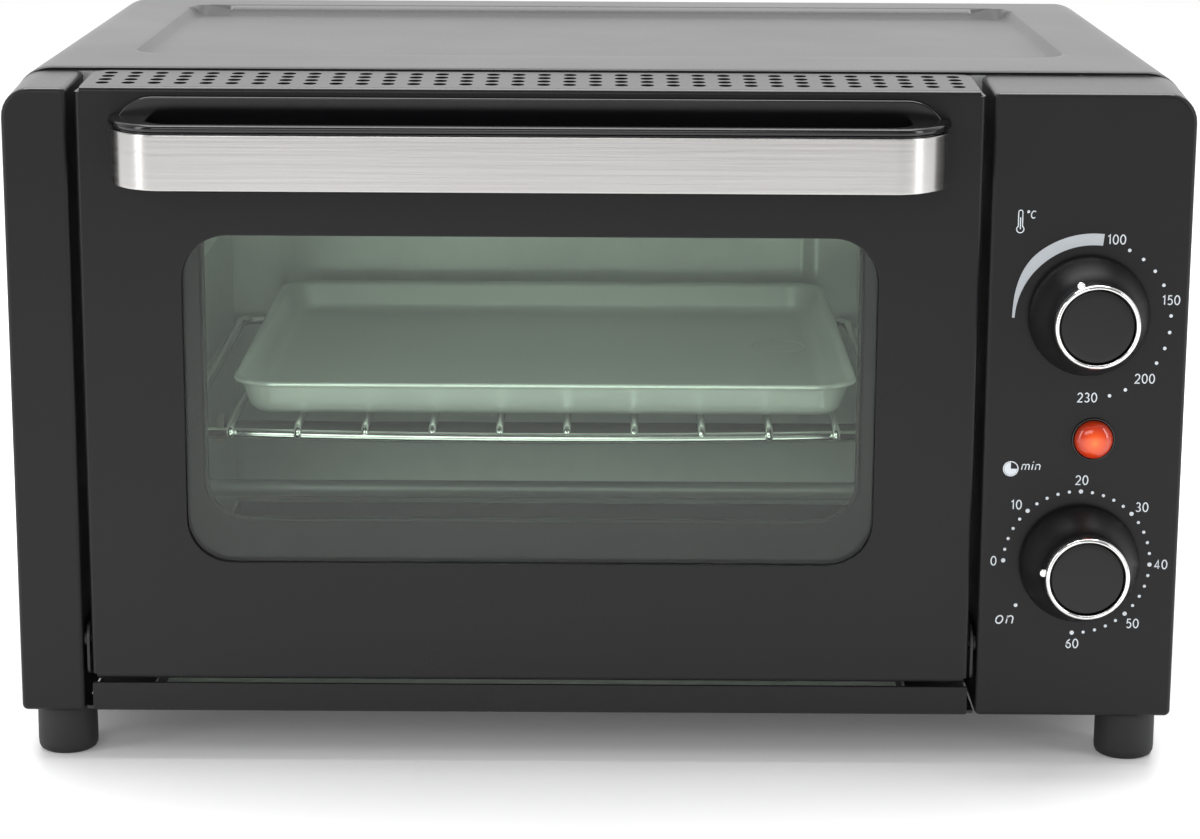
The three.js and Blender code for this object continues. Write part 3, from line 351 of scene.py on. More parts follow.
def discard(*pieces):
    """Removes helper objects."""
    for piece in pieces:
        mesh = piece.data
        bpy.data.objects.remove(piece)
        bpy.data.meshes.remove(mesh)


def carve(piece, *cutters, operation="DIFFERENCE"):
    """Cuts the cutters out of a piece, or joins them to it, and removes them."""
    for cutter in cutters:
        change = piece.modifiers.new("Carve", "BOOLEAN")
        change.operation = operation
        change.solver = "EXACT"
        change.object = cutter
        bake(piece)
    discard(*cutters)
    return piece


def soften(piece, width, segments=2, angle=40):
    """Rounds the edges of a piece by a width in millimetres."""
    bevel = piece.modifiers.new("Soften", "BEVEL")
    bevel.width = width * MM
    bevel.segments = segments
    bevel.limit_method = "ANGLE"
    bevel.angle_limit = math.radians(angle)
    bevel.miter_outer = "MITER_ARC"
    bevel.use_clamp_overlap = True
    return bake(piece)


def complete(piece, body, material, replaced=(), sharp=35, smooth=True):
    """Shades a piece, gives it its material and puts it on its body."""
    if smooth:
        piece.data.shade_smooth()
        piece.data.set_sharp_from_angle(angle=math.radians(sharp))
        weighted = piece.modifiers.new("Weighted Normals", "WEIGHTED_NORMAL")
        weighted.keep_sharp = True
        weighted.weight = 60
        bake(piece)
    piece.data.materials.clear()
    piece.data.materials.append(material)
    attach(piece, body)
    if replaced:
        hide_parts(*replaced)
    return piece


def face_up(piece, material, least=0.75):
    """Gives the upward faces of a piece a second finish."""
    piece.data.materials.append(material)
    for face in piece.data.polygons:
        if face.normal.z > least:
            face.material_index = 1


def paint_node(name, material):
    """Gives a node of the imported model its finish."""
    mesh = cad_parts[name].data
    mesh.materials.clear()
    mesh.materials.append(material)


# ---- geometry node trees -------------------------------------------------------------
def fresh_tree(name, sockets):
    """A geometry node tree with named inputs. Sockets are (name, kind, default)."""
    tree = bpy.data.node_groups.new(name, "GeometryNodeTree")
    tree.interface.new_socket(name="Geometry", in_out="INPUT", socket_type="NodeSocketGeometry")
    for label, kind, default in sockets:
        socket = tree.interface.new_socket(name=label, in_out="INPUT", socket_type=kind)
        if default is not None:
            socket.default_value = default
    tree.interface.new_socket(name="Geometry", in_out="OUTPUT", socket_type="NodeSocketGeometry")
    return tree, tree.nodes.new("NodeGroupInput"), tree.nodes.new("NodeGroupOutput")


def node_in(tree, kind, inputs=(), **settings_of_node):
    """Adds a node; inputs are (socket name or number, value or output socket)."""
    node = tree.nodes.new(kind)
    for key, value in settings_of_node.items():
        setattr(node, key, value)
    for key, value in inputs:
        if isinstance(value, bpy.types.NodeSocket):
            tree.links.new(value, node.inputs[key])
        else:
            node.inputs[key].default_value = value
    return node


def grid_tree():
    """Rows and columns of a piece: vents, wires, louvres."""
    tree, start, end = fresh_tree("Rows Of Pieces", (
        ("Piece", "NodeSocketObject", None),
        ("Columns", "NodeSocketInt", 2),
        ("Rows", "NodeSocketInt", 1),
        ("First", "NodeSocketVector", (0, 0, 0)),
        ("Column Step", "NodeSocketVector", (0.01, 0, 0)),
        ("Row Step", "NodeSocketVector", (0, 0.01, 0)),
        ("Finish", "NodeSocketMaterial", None)))
    total = node_in(tree, "ShaderNodeMath", ((0, start.outputs["Columns"]), (1, start.outputs["Rows"])),
                    operation="MULTIPLY")
    points = node_in(tree, "GeometryNodePoints", (("Count", total.outputs[0]),))
    index = tree.nodes.new("GeometryNodeInputIndex")
    column = node_in(tree, "ShaderNodeMath", ((0, index.outputs[0]), (1, start.outputs["Columns"])),
                     operation="MODULO")
    quotient = node_in(tree, "ShaderNodeMath", ((0, index.outputs[0]), (1, start.outputs["Columns"])),
                       operation="DIVIDE")
    row = node_in(tree, "ShaderNodeMath", ((0, quotient.outputs[0]),), operation="FLOOR")
    across = node_in(tree, "ShaderNodeVectorMath", ((0, start.outputs["Column Step"]),), operation="SCALE")
    tree.links.new(column.outputs[0], across.inputs["Scale"])
    along = node_in(tree, "ShaderNodeVectorMath", ((0, start.outputs["Row Step"]),), operation="SCALE")
    tree.links.new(row.outputs[0], along.inputs["Scale"])
    both = node_in(tree, "ShaderNodeVectorMath", ((0, across.outputs[0]), (1, along.outputs[0])),
                   operation="ADD")
    place = node_in(tree, "ShaderNodeVectorMath", ((0, both.outputs[0]), (1, start.outputs["First"])),
                    operation="ADD")
    moved = node_in(tree, "GeometryNodeSetPosition", (
        ("Geometry", points.outputs[0]), ("Position", place.outputs[0])))
    return close_tree(tree, start, end, moved.outputs[0])


def arc_tree():
    """Dots on a circle round the Y axis, every so many of them larger."""
    tree, start, end = fresh_tree("Dots On An Arc", (
        ("Piece", "NodeSocketObject", None),
        ("Count", "NodeSocketInt", 10),
        ("Centre", "NodeSocketVector", (0, 0, 0)),
        ("Radius", "NodeSocketFloat", 0.02),
        ("First Angle", "NodeSocketFloat", 0.0),
        ("Step", "NodeSocketFloat", 0.1),
        ("Large Every", "NodeSocketInt", 5),
        ("Large Scale", "NodeSocketFloat", 1.0),
        ("Finish", "NodeSocketMaterial", None)))
    points = node_in(tree, "GeometryNodePoints", (("Count", start.outputs["Count"]),))
    index = tree.nodes.new("GeometryNodeInputIndex")
    angle = node_in(tree, "ShaderNodeMath", (
        (0, index.outputs[0]), (1, start.outputs["Step"]), (2, start.outputs["First Angle"])),
        operation="MULTIPLY_ADD")
    sine = node_in(tree, "ShaderNodeMath", ((0, angle.outputs[0]),), operation="SINE")
    cosine = node_in(tree, "ShaderNodeMath", ((0, angle.outputs[0]),), operation="COSINE")
    unit = node_in(tree, "ShaderNodeCombineXYZ", (("X", sine.outputs[0]), ("Z", cosine.outputs[0])))
    out = node_in(tree, "ShaderNodeVectorMath", ((0, unit.outputs[0]),), operation="SCALE")
    tree.links.new(start.outputs["Radius"], out.inputs["Scale"])
    place = node_in(tree, "ShaderNodeVectorMath", ((0, out.outputs[0]), (1, start.outputs["Centre"])),
                    operation="ADD")
    moved = node_in(tree, "GeometryNodeSetPosition", (
        ("Geometry", points.outputs[0]), ("Position", place.outputs[0])))
    nth = node_in(tree, "ShaderNodeMath", ((0, index.outputs[0]), (1, start.outputs["Large Every"])),
                  operation="MODULO")
    is_nth = node_in(tree, "ShaderNodeMath", ((0, nth.outputs[0]), (1, 0.5)), operation="LESS_THAN")
    scale = node_in(tree, "ShaderNodeMapRange", (
        ("Value", is_nth.outputs[0]), ("To Min", 1.0), ("To Max", start.outputs["Large Scale"])))
    return close_tree(tree, start, end, moved.outputs[0], scale.outputs[0])


def points_tree():
    """A piece on each point of the host mesh: screws."""
    tree, start, end = fresh_tree("Piece On Each Point", (
        ("Piece", "NodeSocketObject", None),
        ("Finish", "NodeSocketMaterial", None)))
    points = node_in(tree, "GeometryNodeMeshToPoints", (("Mesh", start.outputs["Geometry"]),))
    return close_tree(tree, start, end, points.outputs[0])


def close_tree(tree, start, end, points, scale=None):
    """Puts the piece on the points, realizes it and sets its material."""
    source = node_in(tree, "GeometryNodeObjectInfo", (("Object", start.outputs["Piece"]),))
    placed = node_in(tree, "GeometryNodeInstanceOnPoints", (
        ("Points", points), ("Instance", source.outputs["Geometry"])))
    if scale is not None:
        tree.links.new(scale, placed.inputs["Scale"])
    real = node_in(tree, "GeometryNodeRealizeInstances", (("Geometry", placed.outputs[0]),))
    dressed = node_in(tree, "GeometryNodeSetMaterial", (
        ("Geometry", real.outputs[0]), ("Material", start.outputs["Finish"])))
    tree.links.new(dressed.outputs[0], end.inputs["Geometry"])
    return tree


def repeated(name, tree, host_points=(), **values):
    """A plain mesh made by a node tree. Values are its named inputs, with spaces as underscores."""
    mesh = bpy.data.meshes.new(name)
    mesh.from_pydata([(x * MM, y * MM, z * MM) for x, y, z in host_points], [], [])
    piece = bpy.data.objects.new(name, mesh)
    bpy.context.scene.collection.objects.link(piece)
    modifier = piece.modifiers.new(tree.name, "NODES")
    modifier.node_group = tree
    by_name = {item.name: item.identifier for item in tree.interface.items_tree if item.in_out == "INPUT"}
    for key, value in values.items():
        modifier[by_name[key.replace("_", " ")]] = value
    bake(piece)
    return piece


# ---- shader groups -------------------------------------------------------------------
def shader_group(name, inputs, outputs):
    """A shader node group with named sockets. Inputs are (name, kind, default)."""
    group = bpy.data.node_groups.new(name, "ShaderNodeTree")
    for label, kind, default in inputs:
        group.interface.new_socket(name=label, in_out="INPUT", socket_type=kind).default_value = default
    for label, kind in outputs:
        group.interface.new_socket(name=label, in_out="OUTPUT", socket_type=kind)
    return group, group.nodes.new("NodeGroupInput"), group.nodes.new("NodeGroupOutput")


def grain_group():
    """Fine variation of colour, roughness and height, stretched along any axis."""
    group, start, end = shader_group("Surface Grain", (
        ("Color", "NodeSocketColor", (0.5, 0.5, 0.5, 1)),
        ("Roughness", "NodeSocketFloat", 0.4),
        ("Stretch", "NodeSocketVector", (1, 1, 1)),
        ("Scale", "NodeSocketFloat", 400.0),
        ("Color Spread", "NodeSocketFloat", 0.1),
        ("Roughness Spread", "NodeSocketFloat", 0.1)),
        (("Color", "NodeSocketColor"), ("Roughness", "NodeSocketFloat"), ("Height", "NodeSocketFloat")))
    where = group.nodes.new("ShaderNodeTexCoord")
    mapping = node_in(group, "ShaderNodeMapping", (
        ("Vector", where.outputs["Object"]), ("Scale", start.outputs["Stretch"])))
    fine = node_in(group, "ShaderNodeTexNoise", (
        ("Vector", mapping.outputs[0]), ("Scale", start.outputs["Scale"]), ("Detail", 3.0)))
    broad = node_in(group, "ShaderNodeTexNoise", (
        ("Vector", where.outputs["Object"]), ("Scale", 14.0), ("Detail", 2.0)))
    both = node_in(group, "ShaderNodeMath", ((0, fine.outputs[0]), (1, broad.outputs[0])), operation="ADD")
    centred = node_in(group, "ShaderNodeMath", ((0, both.outputs[0]), (1, 1.0)), operation="SUBTRACT")
    gain = node_in(group, "ShaderNodeMath", (
        (0, centred.outputs[0]), (1, start.outputs["Color Spread"]), (2, 1.0)), operation="MULTIPLY_ADD")
    shade = node_in(group, "ShaderNodeVectorMath", ((0, start.outputs["Color"]),), operation="SCALE")
    group.links.new(gain.outputs[0], shade.inputs["Scale"])
    rough = node_in(group, "ShaderNodeMath", (
        (0, centred.outputs[0]), (1, start.outputs["Roughness Spread"]), (2, start.outputs["Roughness"])),
        operation="MULTIPLY_ADD")
    group.links.new(shade.outputs[0], end.inputs["Color"])
    group.links.new(rough.outputs[0], end.inputs["Roughness"])
    group.links.new(fine.outputs[0], end.inputs["Height"])
    return group


def dust_group():
    """A faint film on faces that look up."""
    group, start, end = shader_group("Settled Dust", (
        ("Color", "NodeSocketColor", (0.5, 0.5, 0.5, 1)),
        ("Roughness", "NodeSocketFloat", 0.4),
        ("Dust Color", "NodeSocketColor", (0.5, 0.48, 0.45, 1)),
        ("Amount", "NodeSocketFloat", 0.05)),
        (("Color", "NodeSocketColor"), ("Roughness", "NodeSocketFloat")))
    geometry = group.nodes.new("ShaderNodeNewGeometry")
    split = node_in(group, "ShaderNodeSeparateXYZ", (("Vector", geometry.outputs["Normal"]),))
    where = group.nodes.new("ShaderNodeTexCoord")
    noise = node_in(group, "ShaderNodeTexNoise", (
        ("Vector", where.outputs["Object"]), ("Scale", 35.0), ("Detail", 6.0)))
    up = node_in(group, "ShaderNodeMapRange", (
        ("Value", split.outputs["Z"]), ("From Min", 0.5), ("From Max", 1.0)))
    patch = node_in(group, "ShaderNodeMapRange", (
        ("Value", noise.outputs[0]), ("From Min", 0.3), ("From Max", 0.75)))
    mask = node_in(group, "ShaderNodeMath", ((0, up.outputs[0]), (1, patch.outputs[0])), operation="MULTIPLY")
    amount = node_in(group, "ShaderNodeMath", ((0, mask.outputs[0]), (1, start.outputs["Amount"])),
                     operation="MULTIPLY")
    mix = node_in(group, "ShaderNodeMix", data_type="RGBA")
    group.links.new(amount.outputs[0], mix.inputs["Factor"])
    group.links.new(start.outputs["Color"], mix.inputs[6])
    group.links.new(start.outputs["Dust Color"], mix.inputs[7])
    rough = node_in(group, "ShaderNodeMath", (
        (0, amount.outputs[0]), (1, 0.6), (2, start.outputs["Roughness"])), operation="MULTIPLY_ADD")
    group.links.new(mix.outputs[2], end.inputs["Color"])
    group.links.new(rough.outputs[0], end.inputs["Roughness"])
    return group


def heat_group():
    """Brownish bloom that heat leaves on bare metal."""
    group, start, end = shader_group("Heat Bloom", (
        ("Color", "NodeSocketColor", (0.5, 0.5, 0.5, 1)),
        ("Bloom Color", "NodeSocketColor", (0.3, 0.2, 0.1, 1)),
        ("Amount", "NodeSocketFloat", 0.2)),
        (("Color", "NodeSocketColor"),))
    where = group.nodes.new("ShaderNodeTexCoord")
    noise = node_in(group, "ShaderNodeTexNoise", (
        ("Vector", where.outputs["Object"]), ("Scale", 9.0), ("Detail", 5.0)))
    patch = node_in(group, "ShaderNodeMapRange", (
        ("Value", noise.outputs[0]), ("From Min", 0.42), ("From Max", 0.75)))
    amount = node_in(group, "ShaderNodeMath", ((0, patch.outputs[0]), (1, start.outputs["Amount"])),
                     operation="MULTIPLY")
    mix = node_in(group, "ShaderNodeMix", data_type="RGBA")
    group.links.new(amount.outputs[0], mix.inputs["Factor"])
    group.links.new(start.outputs["Color"], mix.inputs[6])
    group.links.new(start.outputs["Bloom Color"], mix.inputs[7])
    group.links.new(mix.outputs[2], end.inputs["Color"])
    return group


# ---- materials -----------------------------------------------------------------------
MATERIALS = {}
GROUPS = {}


def surface(name, color, roughness, metallic=0.0, grain=(400.0, 0.1, 0.1), stretch=(1, 1, 1), bump=0.0,
            dust=0.0, heat=0.0, **sockets):
    """A material built from the shared effects. Grain is (scale, colour spread, roughness spread)."""
    material = bpy.data.materials.new(name)
    material.use_nodes = True
    tree = material.node_tree
    shader = tree.nodes["Principled BSDF"]
    shader.inputs["Metallic"].default_value = metallic
    for key, value in sockets.items():
        shader.inputs[key.replace("_", " ")].default_value = value

    def place(group, color_from, rough_from, **values):
        node = tree.nodes.new("ShaderNodeGroup")
        node.node_tree = GROUPS[group]
        for key, value in values.items():
            node.inputs[key.replace("_", " ")].default_value = value
        for key, value in (("Color", color_from), ("Roughness", rough_from)):
            if key in node.inputs and value is not None:
                if isinstance(value, bpy.types.NodeSocket):
                    tree.links.new(value, node.inputs[key])
                else:
                    node.inputs[key].default_value = value
        return node

    texture = place("grain", (*color, 1), roughness, Stretch=stretch, Scale=grain[0],
                    Color_Spread=grain[1], Roughness_Spread=grain[2])
    last_color, last_rough = texture.outputs["Color"], texture.outputs["Roughness"]
    if heat:
        node = place("heat", last_color, None, Amount=heat)
        last_color = node.outputs["Color"]
    if dust:
        node = place("dust", last_color, last_rough, Amount=dust)
        last_color, last_rough = node.outputs["Color"], node.outputs["Roughness"]
    tree.links.new(last_color, shader.inputs["Base Color"])
    tree.links.new(last_rough, shader.inputs["Roughness"])
    if bump:
        relief = node_in(tree, "ShaderNodeBump", (
            ("Height", texture.outputs["Height"]), ("Strength", bump), ("Distance", 0.0002)))
        tree.links.new(relief.outputs[0], shader.inputs["Normal"])
    MATERIALS[name] = material
    return material


def glass_surface(name, tint):
    """Tempered glass that also lets the light of the room through to the cavity."""
    material = surface(name, tint, 0.006, grain=(60.0, 0.0, 0.004), Transmission_Weight=1.0, IOR=1.35)
    tree = material.node_tree
    shader = tree.nodes["Principled BSDF"]
    out = tree.nodes["Material Output"]
    ray = tree.nodes.new("ShaderNodeLightPath")
    clear = node_in(tree, "ShaderNodeBsdfTransparent", (("Color", (0.90, 0.95, 0.91, 1)),))
    seen = shader
    for kind in ("Is Shadow Ray", "Is Reflection Ray"):
        mix = tree.nodes.new("ShaderNodeMixShader")
        tree.links.new(ray.outputs[kind], mix.inputs[0])
        tree.links.new(seen.outputs[0], mix.inputs[1])
        tree.links.new(clear.outputs[0], mix.inputs[2])
        seen = mix
    tree.links.new(seen.outputs[0], out.inputs["Surface"])
    return material


def lit_lens(name, color, centre):
    """A red lens that glows from its middle."""
    material = surface(name, tuple(c * 0.35 for c in color), 0.14, grain=(300.0, 0.05, 0.04),
                       Coat_Weight=0.2, Coat_Roughness=0.05, Emission_Strength=0.8)
    tree = material.node_tree
    where = tree.nodes.new("ShaderNodeTexCoord")
    offset = node_in(tree, "ShaderNodeVectorMath", (
        (0, where.outputs["Object"]), (1, tuple(c * MM for c in (centre[0], centre[1], centre[2] - 0.4)))),
        operation="SUBTRACT")
    flat = node_in(tree, "ShaderNodeVectorMath", ((0, offset.outputs[0]), (1, (1.0, 0.0, 1.0))),
                   operation="MULTIPLY")
    away = node_in(tree, "ShaderNodeVectorMath", ((0, flat.outputs[0]),), operation="LENGTH")
    share = node_in(tree, "ShaderNodeMapRange", (
        ("Value", away.outputs["Value"]), ("From Min", 0.0), ("From Max", 6.2 * MM)))
    glow = tree.nodes.new("ShaderNodeValToRGB")
    ramp = glow.color_ramp
    ramp.elements[0].color = (0.95, 0.25, 0.035, 1)
    ramp.elements[1].color = (0.05, 0.0, 0.0, 1)
    for position, shade in ((0.32, (0.82, 0.10, 0.012, 1)), (0.72, (0.36, 0.010, 0.003, 1))):
        ramp.elements.new(position).color = shade
    tree.links.new(share.outputs[0], glow.inputs[0])
    tree.links.new(glow.outputs[0], tree.nodes["Principled BSDF"].inputs["Emission Color"])
    return material


class OVEN_OT_finishes(bpy.types.Operator):
    """Builds the shader groups and every finish of the oven"""

    bl_idname = "toaster_oven.finishes"
    bl_label = "Finishes"

    def execute(self, context):
        look = settings().finish
        GROUPS.update(grain=grain_group(), dust=dust_group(), heat=heat_group())
        paint = tuple(look.paint)
        surface("charcoal_paint", paint, 0.36, 0.0, grain=(1500.0, 0.15, 0.10), bump=0.05, dust=0.006,
                Specular_IOR_Level=0.24)
        surface("door_paint", paint, 0.30, 0.0, grain=(1500.0, 0.15, 0.10), bump=0.04, dust=0.006,
                Specular_IOR_Level=0.24)
        surface("lid_paint", paint, 0.36, 0.0, grain=(1400.0, 0.15, 0.12), bump=0.06,
                dust=0.012, Coat_Weight=0.35, Coat_Roughness=0.3)
        surface("inner_paint", (0.009, 0.009, 0.010), 0.36, 0.0, grain=(2200.0, 0.15, 0.08),
                Specular_IOR_Level=0.35)
        # Dark steel of the hinge ears and pins; also used as painted shade on the crumb tray's walls and the
        # base panel, so the gaps under the door stay dark.
        surface("black_steel_and_painted_shade", (0.03, 0.03, 0.032), 0.4, 0.6, grain=(500.0, 0.25, 0.15), bump=0.05)
        surface("gloss_black", (0.003, 0.003, 0.0035), 0.16, grain=(220.0, 0.1, 0.05), dust=0.004)
        surface("knob_face", tuple(c * 0.5 for c in paint), 0.38, grain=(900.0, 0.12, 0.10), bump=0.03,
                Specular_IOR_Level=0.35)
        surface("brushed_band", (0.50, 0.49, 0.48), 0.22, 1.0, grain=(900.0, 0.16, 0.14),
                stretch=(0.02, 0.02, 1.0), bump=0.12)
        surface("chrome_plate", (0.74, 0.74, 0.73), 0.06, 1.0, grain=(260.0, 0.03, 0.05))
        surface("rack_chrome", (0.72, 0.72, 0.70), 0.16, 1.0, grain=(300.0, 0.08, 0.10), heat=0.05)
        surface("zinc_plate", (0.55, 0.56, 0.55), 0.34, 0.9, grain=(260.0, 0.22, 0.16), bump=0.05)
        surface("aluminised", (0.82, 0.84, 0.81), 0.38, 0.55, grain=(120.0, 0.14, 0.14), bump=0.05,
                heat=0.06)
        surface("pan_metal", (0.86, 0.88, 0.85), 0.30, 0.45, grain=(220.0, 0.05, 0.06), heat=0.04)
        surface("rubber_black", (0.006, 0.006, 0.0065), 0.62, grain=(700.0, 0.2, 0.12), bump=0.15, dust=0.03)
        surface("sheath_steel", (0.22, 0.225, 0.215), 0.42, 0.5, grain=(160.0, 0.15, 0.12), heat=0.15)
        surface("ceramic_white", (0.78, 0.75, 0.68), 0.55, grain=(500.0, 0.10, 0.10), bump=0.08, heat=0.1)
        surface("resin_brown", (0.032, 0.024, 0.019), 0.5, grain=(500.0, 0.25, 0.12), bump=0.06)
        surface("dial_print", tuple(look.print_color), 0.55, grain=(2500.0, 0.10, 0.05))
        lit_lens("pilot_red", tuple(look.lens), (middle("pilot_lens", "X"), FRONT, middle("pilot_lens", "Z")))
        surface("arc_print", tuple(c * 0.72 for c in look.print_color), 0.5, grain=(2500.0, 0.08, 0.05))
        surface("stage_white", (0.95, 0.95, 0.95), 0.38, grain=(3.0, 0.004, 0.02),
                Emission_Color=(1.0, 1.0, 1.0, 1.0), Emission_Strength=0.07)
        glass_surface("door_glass", tuple(look.glass_tint))
        return {"FINISHED"}


# ---- shell ---------------------------------------------------------------------------
RECESS_SIDE, RECESS_FRONT, RECESS_BACK, RECESS_DEPTH, RECESS_RADIUS = 31.0, 37.0, 20.0, 3.0, 14.0


def spaced(start, end, step):
    """Evenly spaced values from start to end, no further apart than step."""
    count = max(1, math.ceil(abs(end - start) / step))
    return [start + (end - start) * k / count for k in range(count + 1)]


def refined(start, end, marks, near, far, reach):
    """Values from start to end that are dense within reach of each mark."""
    values = [start]
    while values[-1] < end:
        gap = min(abs(values[-1] - m) for m in marks)
        values.append(values[-1] + (near if gap < reach else far))
    values[-1] = end
    return values


def smooth(t):
    """Smooth step from 0 to 1."""
    t = min(1.0, max(0.0, t))
    return t * t * (3 - 2 * t)


def lid_drop(x, y, half, front, back):
    """How far the lid is dished at a point."""
    centre = (front + back) / 2
    dx = abs(x) - (half - RECESS_RADIUS)
    dy = abs(y - centre) - ((back - front) / 2 - RECESS_RADIUS)
    outside = math.hypot(max(dx, 0), max(dy, 0)) + min(max(dx, dy), 0) - RECESS_RADIUS
    return RECESS_DEPTH * smooth((-outside) / 3.4)


def shell_sheet(name, inset=0.0):
    """The folded skin of the shell as one solid sheet with a dished lid."""
    half = high("outer_shell", "X")
    top = high("outer_shell", "Z")
    front = low("outer_shell", "Y")
    radius = 12.0
    dish_half = half - RECESS_SIDE
    dish_front = BEZEL_BACK + RECESS_FRONT
    dish_back = BACK - RECESS_BACK
    across = [(-half, z) for z in spaced(FLOOR_OF_BODY, top - radius, 16)[:-1]]
    across += [(-half + radius - radius * math.cos(a), top - radius + radius * math.sin(a))
               for a in spaced(0, math.pi / 2, 0.13)][:-1]
    across += [(x, top) for x in refined(-half + radius, 0, (-dish_half, -dish_half + RECESS_RADIUS),
                                         1.1, 7.0, 6.0)]
    across += [(-x, z) for x, z in reversed(across[:-1])]
    along = refined(front, BACK, (dish_front, dish_front + RECESS_RADIUS, dish_back,
                                  dish_back - RECESS_RADIUS),
                    1.1, 6.0, 6.0)
    along = sorted(set(along + [front + 0.35, front + 0.9, BACK - 0.9, BACK - 0.35]))
    build = Builder()
    rows = []
    for y in along:
        edge = min(y - front, BACK - y)
        tuck = 0.35 * (1 - smooth(edge / 0.9))
        points = []
        for x, z in across:
            flat = abs(x) < half - radius
            drop = lid_drop(x, y, dish_half, dish_front, dish_back) if flat else 0.0
            px = x * (1 - (tuck + inset) / half)
            pz = z - (tuck + inset if z > top - radius else 0) - drop
            points.append((px, y, pz))
        rows.append(build.ring(points))
    for a, b in zip(rows, rows[1:]):
        build.bridge(a, b, closed=False)
    sheet = build.make(name)
    up = max(sheet.data.polygons, key=lambda p: p.center.z)
    if up.normal.z < 0:
        sheet.data.flip_normals()
    wall = sheet.modifiers.new("Wall", "SOLIDIFY")
    wall.thickness = 0.8 * MM
    wall.offset = -1.0
    wall.use_even_offset = True
    return bake(sheet)


class OVEN_OT_shell(bpy.types.Operator):
    """Builds the folded outer shell with its side vents and louvre hoods"""

    bl_idname = "toaster_oven.shell"
    bl_label = "Outer Shell"

    def execute(self, context):
        shell = shell_sheet("shell_skin")
        side = high("outer_shell", "X")
        centre = (FRONT + BACK) / 2
        slot_outline = rounded_box(-17, 17, -1.5, 1.5, 1.4, 5)
        cutter = prism("slot", [(y, z) for y, z in slot_outline], "YZ", side - 3, side + 3)
        first = high("outer_shell", "Z") - 12 - 15 - 1.5
        slots = repeated("slots", TREES["grid"], Piece=cutter, Columns=2, Rows=8,
                         First=(0, (centre - 21.1) * MM, first * MM),
                         Column_Step=(0, 42.2 * MM, 0), Row_Step=(0, 0, -9 * MM))
        carve(shell, slots)
        discard(cutter)
        complete(shell, "housing", MATERIALS["lid_paint"], ("outer_shell",))
        hood = louvre_hood("hood", side)
        hoods = repeated("side_louvres", TREES["grid"], Piece=hood, Columns=2, Rows=8,
                         First=(0, (centre - 21.1) * MM, first * MM), Column_Step=(0, 42.2 * MM, 0),
                         Row_Step=(0, 0, -9 * MM), Finish=MATERIALS["lid_paint"])
        discard(hood)
        hoods.data.shade_smooth()
        hoods.data.set_sharp_from_angle(angle=math.radians(40))
        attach(hoods, "housing")
        return {"FINISHED"}


def louvre_hood(name, side):
    """A pressed hood over a slot, open at its lower edge, centred on the slot."""
    section = ((-0.3, 3.4), (0.5, 2.9), (1.2, 1.9), (1.5, 0.6), (1.5, -0.5), (0.8, -0.5), (0.7, 0.4),
               (0.3, 1.3), (-0.3, 1.9))
    rings = []
    for k in range(13):
        t = k / 12
        swell = max(0.06, (1 - abs(2 * t - 1) ** 6) ** 0.5)
        rings.append([(side + out * (swell if out > 0 else 1), -18 + 36 * t,
                       1.2 + (up - 1.2) * (0.5 + 0.5 * swell))
                      for out, up in section])
    build = Builder()
    build.stack(rings)
    return build.make(name)


# ---- bezel ---------------------------------------------------------------------------
def bezel_moulding(name, node, outer_side):
    """A tapered hollow moulding with a soft front edge."""
    x0, x1 = low(node, "X"), high(node, "X")
    if outer_side < 0:
        x0 += 1.3
    else:
        x1 -= 1.3
    z0 = low(node, "Z")
    z1 = high(node, "Z") - 1.3
    fixed = x1 if outer_side < 0 else x0
    width = x1 - x0

    def ring(inset, y):
        share = (y - FRONT) / (BEZEL_BACK - FRONT)
        left = 9.0 if outer_side < 0 else 1.8
        right = 9.0 if outer_side > 0 else 1.8
        points = rounded([
            (x0 + inset, z0 + inset, 1.8 - min(inset, 1.6)), (x1 - inset, z0 + inset, 1.8 - min(inset, 1.6)),
            (x1 - inset, z1 - inset, right - min(inset, 1.6)),
            (x0 + inset, z1 - inset, left - min(inset, 1.6))], 8)
        return [(fixed + (px - fixed) * (1 + 1.3 / width * share), y,
                 z0 + (pz - z0) * (1 + 1.3 / (z1 - z0) * share)) for px, pz in points]

    bend = 1.5
    rings = [ring(bend * (1 - math.sin(a)), FRONT + bend * (1 - math.cos(a)))
             for a in (0, 0.26, 0.52, 0.79, 1.05, 1.31, 1.5708)]
    rings += [ring(0, y) for y in (FRONT + 8, FRONT + 20, BEZEL_BACK - 0.3)]
    rings += [ring(0.3, BEZEL_BACK), ring(1.3, BEZEL_BACK), ring(1.6, BEZEL_BACK - 0.3),
              ring(1.6, FRONT + 1.6)]
    build = Builder()
    build.stack(rings)
    return build.make(name)


class OVEN_OT_bezel(bpy.types.Operator):
    """Builds the left pillar and the control panel"""

    bl_idname = "toaster_oven.bezel"
    bl_label = "Bezel"

    def execute(self, context):
        pillar = bezel_moulding("pillar_moulding", "left_pillar", -1)
        complete(pillar, "housing", MATERIALS["charcoal_paint"], ("left_pillar",), sharp=50)
        face_up(pillar, MATERIALS["lid_paint"])
        panel = bezel_moulding("panel_moulding", "control_panel", 1)
        cutters = [turned("bore", [(0, -4), (radius, -4), (radius, 4), (0, 4)], (x, FRONT, z), (0, 1, 0), 48)
                   for x, z, radius in ((DIAL_X, DIAL_Z["temperature"], 3.4), (DIAL_X, DIAL_Z["timer"], 3.4),
                                        (middle("pilot_lens", "X"), middle("pilot_lens", "Z"), 5.3))]
        carve(panel, *cutters)
        complete(panel, "housing", MATERIALS["charcoal_paint"], ("control_panel",), sharp=50)
        face_up(panel, MATERIALS["lid_paint"])
        return {"FINISHED"}


